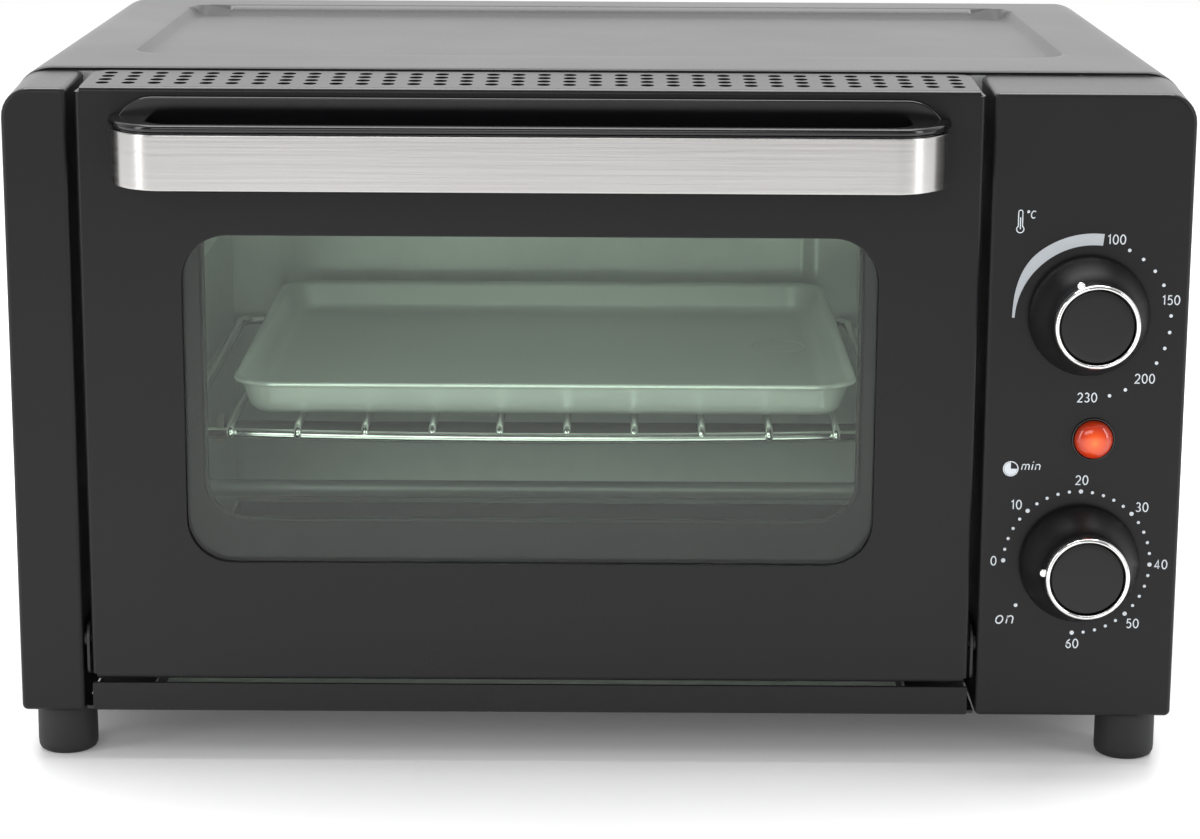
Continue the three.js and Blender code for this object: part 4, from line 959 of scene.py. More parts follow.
# ---- door ----------------------------------------------------------------------------
class OVEN_OT_door_skin(bpy.types.Operator):
    """Builds the folded door skin with its window and the perforated top flange"""

    bl_idname = "toaster_oven.door_skin"
    bl_label = "Door Skin"

    def execute(self, context):
        door = settings().door
        r = door.fold_radius / MM
        x0, x1 = DOOR_LEFT, DOOR_RIGHT
        z0, z1 = low("door_panel", "Z"), high("door_panel", "Z") - 1.2
        back = high("door_panel", "Y")
        skin = 0.9
        build = Builder()
        arc = [math.pi / 2 * k / 6 for k in range(7)]

        def fold(first, last):
            rings = [build.ring([first(a), last(a)]) for a in arc]
            for a, b in zip(rings, rings[1:]):
                build.bridge(a, b, closed=False)
            return rings

        flange_low = middle("hinge_pin_left", "Z") + 7.4
        heights = (z0 + r, flange_low + 0.8, z1 - r)
        build.cap(build.ring([(x0 + r, FRONT, z) for z in reversed(heights)]
                             + [(x1 - r, FRONT, z) for z in heights]))
        for side, edge in ((-1, x0), (1, x1)):
            def at(a, z, edge=edge, side=side):
                return (edge - side * r * (1 - math.sin(a)), FRONT + r * (1 - math.cos(a)), z)
            for lower, upper in zip(heights, heights[1:]):
                fold(lambda a: at(a, lower), lambda a: at(a, upper))
            y = FRONT + r
            build.cap(build.ring([(edge, y, flange_low + 0.8), (edge, y + 6, flange_low + 7.0),
                                  (edge, back - 3, flange_low + 7.0), (edge, back, flange_low + 10.0),
                                  (edge, back, z1 - 3), (edge, back - 3, z1 - r), (edge, y, z1 - r)]))
        rise = 1.2

        def top(a, x):
            return (x, FRONT + r * (1 - math.cos(a)), z1 - r * (1 - math.sin(a)))
        fold(lambda a: top(a, x0 + r), lambda a: top(a, x1 - r))
        corner = rounded([(x0 + r, FRONT + r, 0), (x1 - r, FRONT + r, 0), (x1 - r, back, 5),
                          (x0 + r, back, 5)], 8)
        lid = build.ring([(x, y, z1 + rise * (y - FRONT - r) / (back - FRONT - r)) for x, y in corner])
        build.cap(lid)

        def foot(a, x):
            return (x, FRONT + r * (1 - math.cos(a)), z0 + r * (1 - math.sin(a)))
        fold(lambda a: foot(a, x0 + r), lambda a: foot(a, x1 - r))
        build.cap(build.ring([(x0 + r, FRONT + r, z0), (x0 + r + 2, FRONT + 7, z0),
                              (x1 - r - 2, FRONT + 7, z0), (x1 - r, FRONT + r, z0)]))
        sheet = build.make("door_skin")
        middle_z = (z0 + z1) / 2
        inward = [p for p in sheet.data.polygons
                  if p.normal.dot(Vector((p.center.x - DOOR_X * MM, p.center.y - (FRONT + 16) * MM,
                                          p.center.z - middle_z * MM))) < 0]
        if len(inward) > len(sheet.data.polygons) / 2:
            sheet.data.flip_normals()
        wall = sheet.modifiers.new("Wall", "SOLIDIFY")
        wall.thickness = skin * MM
        wall.offset = -1.0
        wall.use_even_offset = True
        bake(sheet)

        rad = door.window_radius / MM
        wx0, wx1 = DOOR_LEFT + 31.0, DOOR_RIGHT - 31.0
        wz0, wz1 = z0 + 37.9, z1 - 45.1
        rings = [[(x, y, z) for x, z in rounded_box(wx0 - g, wx1 + g, wz0 - g, wz1 + g, rad + g, 14)]
                 for g, y in ((0.45, FRONT - 1), (0.45, FRONT - 0.001), (0.12, FRONT + 0.14),
                              (0.0, FRONT + 0.4),
                              (0.0, FRONT + 3))]
        build = Builder()
        build.stack(rings)
        cutters = [build.make("window")]
        for screw in ("handle_screw_left", "handle_screw_right"):
            cutters.append(turned("bore", [(0, -3), (2.3, -3), (2.3, 3), (0, 3)],
                                  (middle(screw, "X"), FRONT, middle(screw, "Z")), (0, 1, 0), 32))
        carve(sheet, *cutters)

        columns, rows = door.vent_columns, door.vent_rows
        pitch_x, pitch_y = door.vent_pitch
        hole = turned("vent", [(0, -4), (door.vent_diameter / MM / 2, -4), (door.vent_diameter / MM / 2, 4),
                               (0, 4)],
                      (0, 0, 0), (0, 0, 1), 20)
        first_x = DOOR_X * MM - pitch_x * (columns - 1) / 2
        vents = repeated("vents", TREES["grid"], Piece=hole, Columns=columns, Rows=rows,
                         First=(first_x, (FRONT + 8.0) * MM, (z1 + 0.4) * MM),
                         Column_Step=(pitch_x, 0, 0), Row_Step=(0, pitch_y, 0))
        discard(hole)
        carve(sheet, vents)
        complete(sheet, "door", MATERIALS["door_paint"], ("door_panel",), sharp=30)
        face_up(sheet, MATERIALS["lid_paint"])
        return {"FINISHED"}


class OVEN_OT_door_inside(bpy.types.Operator):
    """Builds the inner door panel with its bevelled opening and dresses the glass and clips"""

    bl_idname = "toaster_oven.door_inside"
    bl_label = "Door Inside"

    def execute(self, context):
        node = "door_inner_panel"
        x0, x1 = low(node, "X"), high(node, "X")
        z0, z1 = low(node, "Z"), high(node, "Z")
        back = high(node, "Y")
        ox0, ox1 = DOOR_LEFT + 34.6, DOOR_RIGHT - 34.6
        oz0 = low("door_panel", "Z") + 45.4
        oz1 = high("door_panel", "Z") - 1.2 - 32.3
        build = Builder()

        def hole(grow, y):
            return [(x, y, z) for x, z in rounded_box(ox0 - grow, ox1 + grow, oz0 - grow, oz1 + grow,
                                                      12 + grow, 12)]

        def edge(inset, y):
            ring = []
            for px, _, pz in hole(0, 0):
                cx, cz = (ox0 + ox1) / 2, (oz0 + oz1) / 2
                dx, dz = px - cx, pz - cz
                scale = min((x1 - inset - cx if dx > 0 else cx - x0 - inset) / max(abs(dx), 1e-6),
                            (z1 - inset - cz if dz > 0 else cz - z0 - inset) / max(abs(dz), 1e-6))
                ring.append((cx + dx * scale, y, cz + dz * scale))
            return ring
        front = back - 0.8
        rings = [edge(0, front), edge(0, back), hole(2.2, back), hole(1.0, back - 0.5), hole(0.3, back - 1.4),
                 hole(0, back - 3.0), hole(0, back - 5.2), hole(0.8, back - 5.2), hole(0.8, back - 3.0),
                 hole(1.4, back - 1.6), hole(2.4, front)]
        numbers = [build.ring(r) for r in rings]
        for a, b in zip(numbers, numbers[1:] + numbers[:1]):
            build.bridge(a, b)
        corners_front = build.make("inner_panel")
        complete(corners_front, "door", MATERIALS["inner_paint"], (node,), sharp=40)
        paint_node("door_glass", MATERIALS["door_glass"])
        for name in ("glass_clip_top", "glass_clip_bottom", "hinge_bracket_left", "hinge_bracket_right",
                     "handle_screw_left", "handle_screw_right"):
            paint_node(name, MATERIALS["zinc_plate"])
        for name in ("hinge_ear_left", "hinge_ear_right", "hinge_pin_left", "hinge_pin_right"):
            paint_node(name, MATERIALS["black_steel_and_painted_shade"])
        return {"FINISHED"}


def handle_plan(left, right, reach, end, grow, steps=16):
    """Plan outline of the grip: straight front and quarter-ellipse ends."""
    points = []
    for k in range(steps + 1):
        angle = math.pi / 2 * k / steps
        points.append((left + end - (end + grow) * math.cos(angle),
                       FRONT - 0.3 - (reach + grow) * math.sin(angle)))
    return points + [(left + right - x, y) for x, y in reversed(points)]


class OVEN_OT_handle(bpy.types.Operator):
    """Builds the glossy grip, its back plate and the brushed band"""

    bl_idname = "toaster_oven.handle"
    bl_label = "Handle"

    def execute(self, context):
        left, right = low("handle_body", "X"), high("handle_body", "X")
        z0 = low("handle_body", "Z")
        z1 = z0 + 20.0
        top = high("handle_body", "Z")
        reach = FRONT - low("handle_band", "Y") - 0.3
        sheet = 0.7
        inner = reach - sheet

        def level(grow, z):
            return [(x, y, z) for x, y in handle_plan(left, right, inner, 18.0, grow)]
        build = Builder()
        build.stack([level(-1.3, z0), level(-0.55, z0 + 0.25), level(-0.3, z0 + 0.8), level(-0.3, z0 + 17.6),
                     level(0.35, z0 + 17.9), level(0.62, z0 + 18.4), level(0.62, z1 - 0.9),
                     level(0.35, z1 - 0.3),
                     level(-0.4, z1)])
        grip = build.make("handle_grip")
        palm = FRONT - 25.0 + 11.0
        pocket_outline = rounded([(left + 12, palm, 7), (right - 12, palm, 7), (right - 12, FRONT + 3, 0),
                                  (left + 12, FRONT + 3, 0)], 8)
        pocket = prism("pocket", pocket_outline, "XY", z0 - 2, z1 + 2)
        lip = FRONT - 0.3 - inner + 2.6
        well = prism("well", rounded([(left + 12, lip, 9), (right - 12, lip, 9), (right - 12, FRONT + 3, 0),
                                      (left + 12, FRONT + 3, 0)], 10), "XY", z1 - 9.0, z1 + 2)
        carve(grip, pocket, well)
        soften(grip, 0.5, 3, 50)
        complete(grip, "door", MATERIALS["gloss_black"], (), sharp=60)

        plate_outline = rounded([(left + 0.6, z0, 4), (right - 0.6, z0, 4), (right - 0.6, top, 12),
                                 (left + 0.6, top, 12)], 10)
        plate = prism("handle_plate", plate_outline, "XZ", FRONT - 2.3, FRONT - 0.3)
        cutters = [turned("bore", [(0, -4), (2.3, -4), (2.3, 4), (0, 4)],
                          (middle(s, "X"), FRONT, middle(s, "Z")), (0, 1, 0), 32)
                   for s in ("handle_screw_left", "handle_screw_right")]
        carve(plate, *cutters)
        soften(plate, 0.6, 3, 50)
        complete(plate, "door", MATERIALS["gloss_black"], ("handle_body",), sharp=60)

        b0, b1 = low("handle_band", "Z"), high("handle_band", "Z")
        near = FRONT - 9.0

        def loop(grow, z):
            return [p for p in level(grow, z) if p[1] <= near]
        build = Builder()
        rings = []
        for k in range(len(loop(0, 0))):
            outer = [loop(g, z)[k] for g, z in ((sheet - 0.25, b0), (sheet - 0.05, b0 + 0.12),
                                                (sheet, b0 + 0.4),
                                                (sheet, b1 - 0.4), (sheet - 0.05, b1 - 0.12),
                                                (sheet - 0.25, b1))]
            inside = [loop(g, z)[k] for g, z in ((0.05, b1), (0.0, b1 - 0.2), (0.0, b0 + 0.2), (0.05, b0))]
            rings.append(outer + inside)
        build.stack(rings)
        band = build.make("band_strip")
        complete(band, "door", MATERIALS["brushed_band"], ("handle_band",), sharp=60)
        return {"FINISHED"}


# ---- controls ------------------------------------------------------------------------
def eased(points, steps=4):
    """A smooth line through profile points."""
    line = []
    for i in range(len(points) - 1):
        p0, p1 = Vector(points[max(i - 1, 0)]), Vector(points[i])
        p2, p3 = Vector(points[i + 1]), Vector(points[min(i + 2, len(points) - 1)])
        for k in range(steps):
            t = k / steps
            line.append(tuple(0.5 * (2 * p1 + (p2 - p0) * t + (2 * p0 - 5 * p1 + 4 * p2 - p3) * t * t
                                     + (3 * p1 - p0 - 3 * p2 + p3) * t ** 3)))
    return line + [tuple(points[-1])]


class OVEN_OT_knobs(bpy.types.Operator):
    """Builds both knobs with their chrome rings and pointers"""

    bl_idname = "toaster_oven.knobs"
    bl_label = "Knobs"

    def execute(self, context):
        for name, z in DIAL_Z.items():
            body = f"{name}_control"
            centre, forward = (DIAL_X, FRONT, z), (0, -1, 0)
            reach = FRONT - low(f"{name}_knob_ring", "Y")
            shoulder = reach - 4.7
            flank = eased([(18.5, 1.6), (18.25, 3.2), (17.2, 5.6), (15.6, 8.3), (14.0, 10.8), (13.0, 12.9),
                           (12.75, shoulder - 0.5)])
            skirt = turned(f"{name}_grip", [
                (0, shoulder - 1), (3.3, shoulder - 1), (3.3, 0.8), (17.9, 0.8), (18.3, 0.95), (18.48, 1.25)]
                + flank + [(12.4, shoulder), (11.1, shoulder), (11.1, reach - 1.5), (11.0, reach - 1.15),
                           (10.7, reach - 0.95), (9.0, reach - 0.85), (0, reach - 0.8)], centre, forward, 96)
            complete(skirt, body, MATERIALS["knob_face"], (f"{name}_knob",), sharp=42)
            ring = turned(f"{name}_ring", [
                (11.4, shoulder + 0.5), (12.9, shoulder + 0.5), (13.0, shoulder + 0.7), (13.0, reach - 1.5),
                (12.95, reach - 1.05), (12.81, reach - 0.65), (12.58, reach - 0.32), (12.3, reach - 0.1),
                (12.0, reach), (11.78, reach - 0.08), (11.58, reach - 0.28), (11.45, reach - 0.55),
                (11.4, reach - 0.9), (11.4, shoulder + 0.5)],
                centre, forward, 96)
            complete(ring, body, MATERIALS["chrome_plate"], (f"{name}_knob_ring",), sharp=60)
            node = f"{name}_knob_pointer"
            angle = math.atan2(middle(node, "X") - DIAL_X, middle(node, "Z") - z)
            outline = rounded([(-1.2, 12.6, 0.3), (1.2, 12.6, 0.3), (1.15, 14.5, 1.1), (-1.15, 14.5, 1.1)], 6)
            turn_c, turn_s = math.cos(angle), math.sin(angle)
            outline = [(DIAL_X + px * turn_c + pz * turn_s, z - px * turn_s + pz * turn_c)
                       for px, pz in outline]
            pointer = prism(f"{name}_pointer", outline, "XZ", low(node, "Y"), high(node, "Y"))
            soften(pointer, 0.45, 3, 50)
            complete(pointer, body, MATERIALS["chrome_plate"], (node,), sharp=60)
            paint_node(f"{name}_shaft", MATERIALS["zinc_plate"])
        for name in ("thermostat", "timer"):
            paint_node(name, MATERIALS["resin_brown"])
        return {"FINISHED"}


class OVEN_OT_pilot_light(bpy.types.Operator):
    """Builds the domed lens of the pilot light with its seat"""

    bl_idname = "toaster_oven.pilot_light"
    bl_label = "Pilot Light"

    def execute(self, context):
        centre = (middle("pilot_lens", "X"), FRONT, middle("pilot_lens", "Z"))
        dome = eased([(5.9, 0.9), (5.6, 1.9), (4.7, 2.9), (3.3, 3.6), (1.6, 3.92), (0, 4.0)])
        lens = turned("pilot_dome", [(0, -6), (4.9, -6), (4.9, 0.3), (5.85, 0.3), (5.97, 0.5)] + dome,
                      centre, (0, -1, 0), 64)
        complete(lens, "housing", MATERIALS["pilot_red"], ("pilot_lens",), sharp=50)
        seat = turned("pilot_seat", [(5.98, 0.05), (6.7, 0.05), (6.75, 0.35), (6.6, 0.6), (6.25, 0.65),
                                     (6.05, 0.5), (5.98, 0.05)], centre, (0, -1, 0), 64)
        complete(seat, "housing", MATERIALS["gloss_black"], (), sharp=50)
        paint_node("pilot_lamp_holder", MATERIALS["resin_brown"])
        return {"FINISHED"}


# ---- dial print ----------------------------------------------------------------------
def bow(cx, cz, rx, rz, start, end, steps=14):
    """Points of an elliptical arc; angles in degrees, anticlockwise from the right."""
    return [(cx + rx * math.cos(math.radians(start + (end - start) * k / steps)),
             cz + rz * math.sin(math.radians(start + (end - start) * k / steps))) for k in range(steps + 1)]


def glyphs():
    """Width and strokes of each character, for a height of 1."""
    return {
        "0": (0.58, [bow(0.29, 0.5, 0.25, 0.46, 0, 360, 24)]),
        "1": (0.34, [[(0.04, 0.78), (0.22, 0.96), (0.22, 0.04)]]),
        "2": (0.56, [bow(0.27, 0.69, 0.22, 0.27, 165, -38) + [(0.05, 0.04), (0.52, 0.04)]]),
        "3": (0.54, [bow(0.24, 0.73, 0.19, 0.23, 150, -90) + bow(0.24, 0.27, 0.23, 0.23, 90, -150)[1:]]),
        "4": (0.60, [[(0.40, 0.04), (0.40, 0.94), (0.05, 0.27), (0.56, 0.27)]]),
        "5": (0.54, [[(0.46, 0.95), (0.14, 0.95)] + bow(0.25, 0.33, 0.24, 0.29, 128, -140)]),
        "6": (0.56, [[(0.42, 0.95)] + bow(0.52, 0.30, 0.46, 0.62, 115, 180, 8)
                     + bow(0.28, 0.30, 0.22, 0.26, 180, 540, 20)]),
        "o": (0.62, [bow(0.29, 0.33, 0.24, 0.29, 0, 360, 22)]),
        "n": (0.56, [[(0.06, 0.62), (0.06, 0.04)], bow(0.27, 0.38, 0.21, 0.23, 180, 0) + [(0.48, 0.04)]]),
        "m": (0.86, [[(0.06, 0.62), (0.06, 0.04)], bow(0.24, 0.40, 0.18, 0.21, 180, 0) + [(0.42, 0.04)],
                     bow(0.60, 0.40, 0.18, 0.21, 180, 0) + [(0.78, 0.04)]]),
        "i": (0.22, [[(0.09, 0.62), (0.09, 0.04)], [(0.09, 0.80), (0.09, 0.92)]]),
        "C": (0.66, [bow(0.36, 0.5, 0.30, 0.45, 48, 312, 20)]),
        "*": (0.34, [bow(0.15, 0.86, 0.11, 0.12, 0, 360, 16)]),
    }


def ribbon(build, line, width, y0, y1):
    """A flat printed stroke along a line in the XZ plane."""
    closed = math.dist(line[0], line[-1]) < 1e-6
    points = [Vector(p) for p in (line[:-1] if closed else line)]
    left, right = [], []
    for i, here in enumerate(points):
        before = points[i - 1] if i or closed else None
        after = points[(i + 1) % len(points)] if i + 1 < len(points) or closed else None
        a = (here - before).normalized() if before is not None else (after - here).normalized()
        b = (after - here).normalized() if after is not None else a
        normal = Vector((-a.y - b.y, a.x + b.x))
        normal = normal.normalized() if normal.length > 1e-6 else Vector((-a.y, a.x))
        reach = width / 2 / max(0.5, normal.dot(Vector((-a.y, a.x))))
        left.append(here + normal * reach)
        right.append(here - normal * reach)
    sections = [build.ring([(l.x, y0, l.y), (r.x, y0, r.y), (r.x, y1, r.y), (l.x, y1, l.y)])
                for l, r in zip(left, right)]
    for a, b in zip(sections, sections[1:] + (sections[:1] if closed else [])):
        build.bridge(a, b)
    if not closed:
        build.cap(sections[0])
        build.cap(sections[-1])


def lettering(build, text, x, z, height, weight, slant=0.0):
    """Printed characters centred on a point of the panel."""
    shapes = glyphs()
    space = 0.16
    width = sum(shapes[c][0] + space for c in text) - space
    cursor = -width / 2
    for character in text:
        advance, strokes = shapes[character]
        for stroke in strokes:
            line = [(x + (cursor + px + slant * (pz - 0.5)) * height, z + (pz - 0.5) * height)
                    for px, pz in stroke]
            ribbon(build, line, weight, PRINT_FRONT, PRINT_BACK)
        cursor += advance + space


PRINT_FRONT, PRINT_BACK = FRONT - 0.05, FRONT + 0.05
TIMER_NUMERALS = (("0", -25.7, 0.4), ("10", -19.2, 18.4), ("20", 0.7, 26.3), ("30", 19.6, 17.8),
                  ("40", 26.2, -0.5), ("50", 18.2, -19.6), ("60", -0.4, -26.2))
TEMPERATURE_NUMERALS = (("100", 6.8, 25.1), ("150", 24.1, 6.5), ("200", 17.1, -18.0), ("230", -0.3, -24.0))


class OVEN_OT_dial_print(bpy.types.Operator):
    """Prints both scales on the control panel: dots, numerals, the warm-up arc and two small signs"""

    bl_idname = "toaster_oven.dial_print"
    bl_label = "Dial Print"

    def execute(self, context):
        control = settings().control
        height = control.numeral_height / MM
        ink = MATERIALS["dial_print"]
        timer_x, timer_z = DIAL_X - 0.7, DIAL_Z["timer"]
        warm_x, warm_z = DIAL_X + 0.9, DIAL_Z["temperature"] - 1.7
        dot = turned("dot", [(0, -0.05), (0.47, -0.05), (0.5, -0.03), (0.5, 0.03), (0, 0.03)],
                     (0, 0, 0), (0, 1, 0), 14)
        groups = [("timer_dots", timer_x, timer_z, 22.7, -88.6, 31, control.timer_step, 5, 1.35),
                  ("temperature_dots_low", warm_x, warm_z, 24.3, 26.4, 4, control.temperature_step, 1, 1.1),
                  ("temperature_dots_middle", warm_x, warm_z, 24.3, 86.2, 4, control.temperature_step, 1,
                   1.1),
                  ("temperature_dots_high", warm_x, warm_z, 24.3, 152.3, 2, control.temperature_step, 1, 1.1),
                  ("timer_on_dot", timer_x, timer_z, 23.0, -127.1, 1, control.timer_step, 1, 1.2)]
        for name, x, z, radius, first, count, step, every, large in groups:
            dots = repeated(name, TREES["arc"], Piece=dot, Count=count, Centre=(x * MM, FRONT * MM, z * MM),
                            Radius=radius * MM, First_Angle=math.radians(first), Step=step, Large_Every=every,
                            Large_Scale=large, Finish=ink)
            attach(dots, "housing")
        discard(dot)
        build = Builder()
        for text, dx, dz in TIMER_NUMERALS:
            lettering(build, text, timer_x + dx, timer_z + dz, height, 0.36)
        for text, dx, dz in TEMPERATURE_NUMERALS:
            lettering(build, text, warm_x + dx, warm_z + dz, height, 0.36)
        lettering(build, "on", timer_x - 21.5, timer_z - 17.8, 4.3, 0.40, 0.2)
        lettering(build, "min", timer_x - 15.0, timer_z + 30.9, 3.0, 0.32, 0.2)
        lettering(build, "*C", warm_x - 19.3, warm_z + 32.6, 2.4, 0.3, 0.12)
        numerals = build.make("dial_numerals")
        complete(numerals, "housing", ink, smooth=False)

        build = Builder()
        sections = []
        for degrees in spaced(-88, 6.5, 2.4):
            grown = smooth((degrees + 88) / 50)
            a = math.radians(degrees)
            inner, outer = 23.4 - 0.1 * grown, 24.2 + 2.7 * grown
            sections.append([(warm_x + r * math.sin(a), y, warm_z + r * math.cos(a))
                             for r, y in ((inner, PRINT_FRONT), (outer, PRINT_FRONT), (outer, PRINT_BACK),
                                          (inner, PRINT_BACK))])
        build.stack(sections)
        complete(build.make("warm_up_arc"), "housing", MATERIALS["arc_print"], smooth=False)

        build = Builder()
        bulb_x, bulb_z = warm_x - 22.6, warm_z + 28.1
        ribbon(build, bow(bulb_x, bulb_z, 1.1, 1.1, 125, 415, 18) + [(bulb_x + 0.63, bulb_z + 5.2)]
               + bow(bulb_x, bulb_z + 5.2, 0.63, 0.63, 0, 180, 8)[1:]
               + bow(bulb_x, bulb_z, 1.1, 1.1, 125, 125, 1)[:1],
               0.3, PRINT_FRONT, PRINT_BACK)
        ribbon(build, [(bulb_x, bulb_z), (bulb_x, bulb_z + 3.6)], 0.34, PRINT_FRONT, PRINT_BACK)
        clock_x, clock_z = timer_x - 21.35, timer_z + 29.8
        disc = [(clock_x, clock_z)] + bow(clock_x, clock_z, 2.0, 2.0, 90, 360, 24)
        build.stack([[(px, y, pz) for px, pz in disc] for y in (PRINT_FRONT, PRINT_BACK)])
        ribbon(build, bow(clock_x, clock_z, 2.25, 2.25, 0, 360, 30), 0.3, PRINT_FRONT, PRINT_BACK)
        complete(build.make("dial_signs"), "housing", ink, smooth=False)
        return {"FINISHED"}


# ---- cavity --------------------------------------------------------------------------
def pressed_sheet(name, across, along, place, shift, thickness):
    """A sheet over a grid of values, pushed off its plane by shift(u, v), with a thickness."""
    build = Builder()
    rows = [build.ring([place(u, v, shift(u, v)) for u in across]) for v in along]
    for a, b in zip(rows, rows[1:]):
        build.bridge(a, b, closed=False)
    sheet = build.make(name)
    wall = sheet.modifiers.new("Wall", "SOLIDIFY")
    wall.thickness = thickness * MM
    wall.offset = 0.0
    wall.use_even_offset = True
    return bake(sheet)


def inset_of(u, v, u0, u1, v0, v1, radius):
    """How far a point lies inside a rounded rectangle; negative outside."""
    du = abs(u - (u0 + u1) / 2) - ((u1 - u0) / 2 - radius)
    dv = abs(v - (v0 + v1) / 2) - ((v1 - v0) / 2 - radius)
    return radius - (math.hypot(max(du, 0), max(dv, 0)) + min(max(du, dv), 0))


class OVEN_OT_cavity(bpy.types.Operator):
    """Builds the pressed liner sheets of the cavity"""

    bl_idname = "toaster_oven.cavity"
    bl_label = "Cavity"

    def execute(self, context):
        liner = MATERIALS["aluminised"]
        top = low("cavity_top", "Z") - 0.3
        for side, node in ((-1, "cavity_left_wall"), (1, "cavity_right_wall")):
            inner = high(node, "X") - 5.0 if side < 0 else low(node, "X") + 5.0
            y0, y1 = low(node, "Y"), high(node, "Y")
            z0, z1 = low(node, "Z"), high(node, "Z")
            ledges = (low("wire_rack", "Z") - 0.3, top - 57.0)

            def swell(y, z, ledges=ledges, y0=y0, y1=y1):
                lean = 0.0
                for ledge in ledges:
                    ends = smooth((y - y0 - 4) / 7) * smooth((y1 - 4 - y) / 7)
                    below = ledge - 0.55 - z
                    if below >= 0:
                        lean += 4.9 * ends * math.exp(-(below / 4.2) ** 2)
                    else:
                        lean += 4.9 * ends * smooth(1 + below / 1.1)
                return lean
            marks = [ledge - 0.5 for ledge in ledges]
            plate = pressed_sheet(
                f"liner_{'left' if side < 0 else 'right'}",
                refined(y0, y1, (y0 + 7, y1 - 7), 1.5, 12.0, 5.0),
                refined(z0, z1, marks, 0.5, 4.0, 6.0),
                lambda y, z, s, inner=inner, side=side: (inner + side * 0.4 - side * s, y, z), swell, 0.7)
            holes = [turned("bore", [(0, -8), (4.6, -8), (4.6, 8), (0, 8)],
                            (inner, middle(f"heater_{place}", "Y"), middle(f"heater_{place}", "Z")),
                            (1, 0, 0), 24)
                     for place in HEATER_PLACES]
            carve(plate, *holes)
            complete(plate, "housing", liner, (node,), sharp=35)

        node = "cavity_back"
        x0, x1, z0, z1 = low(node, "X"), high(node, "X"), low(node, "Z"), high(node, "Z")
        y = middle(node, "Y")

        def dish(x, z):
            panel = 3.0 * smooth(inset_of(x, z, x0 + 16, x1 - 16, z0 + 30, z1 - 12, 16) / 6)
            return panel
        back = pressed_sheet("liner_back", refined(x0, x1, (x0 + 19, x1 - 19), 1.4, 9.0, 8.0),
                             refined(z0, z1, (z0 + 33, z1 - 15), 1.4, 7.0, 8.0),
                             lambda x, z, s: (x, y + s, z), dish, 0.7)
        complete(back, "housing", liner, (node,), sharp=35)

        node = "cavity_top"
        x0, x1, y0, y1 = low(node, "X"), high(node, "X"), low(node, "Y"), high(node, "Y")
        z = middle(node, "Z")

        def rib(x, y):
            return 2.2 * smooth(inset_of(x, y, x0 + 22, x1 - 22, y0 + 24, y1 - 24, 18) / 5)
        roof = pressed_sheet("liner_top", refined(x0, x1, (x0 + 25, x1 - 25), 1.6, 10.0, 7.0),
                             refined(y0, y1, (y0 + 27, y1 - 27), 1.6, 10.0, 7.0),
                             lambda x, y, s: (x, y, z + s), rib, 0.7)
        complete(roof, "housing", liner, (node,), sharp=35)
        paint_node("heat_shield", MATERIALS["aluminised"])
        return {"FINISHED"}


HEATER_PLACES = ("lower_front", "lower_rear", "upper_front", "upper_rear")


class OVEN_OT_heaters(bpy.types.Operator):
    """Builds the quartz heating rods with their end caps and ceramic sleeves"""

    bl_idname = "toaster_oven.heaters"
    bl_label = "Heating Rods"

    def execute(self, context):
        for place in HEATER_PLACES:
            node = f"heater_{place}"
            x0, x1 = low(node, "X"), high(node, "X")
            y, z = middle(node, "Y"), middle(node, "Z")
            half = (x1 - x0) / 2
            rod_profile = [(0, -half), (1.2, -half), (1.4, -half + 0.3), (1.4, -half + 3), (2.9, -half + 3.2),
                           (3.25, -half + 3.8), (3.25, -half + 9.5), (3.0, -half + 10)]
            rod_profile += [(3.0, half - 10), (3.25, half - 9.5), (3.25, half - 3.8), (2.9, half - 3.2),
                            (1.4, half - 3), (1.4, half - 0.3), (1.2, half), (0, half)]
            tube = turned(f"rod_{place}", rod_profile, ((x0 + x1) / 2, y, z), (1, 0, 0), 40)
            complete(tube, "housing", MATERIALS["sheath_steel"], (node,), sharp=45)
            for side, label in ((-1, "left"), (1, "right")):
                sleeve_node = f"heater_ceramic_{place}_{label}"
                inner = high(sleeve_node, "X") if side < 0 else low(sleeve_node, "X")
                bore = 3.65
                profile = [(bore, 0.3), (4.0, 0.0), (5.1, 0.0), (5.5, 0.4), (5.5, 2.1), (5.3, 2.4),
                           (4.3, 2.5),
                           (4.3, 8.0), (4.1, 8.3), (bore, 8.3), (bore, 0.3)]
                sleeve = turned(f"sleeve_{place}_{label}", profile, (inner, y, z), (side, 0, 0), 40)
                complete(sleeve, "housing", MATERIALS["ceramic_white"], (sleeve_node,),
                         sharp=45)
        return {"FINISHED"}


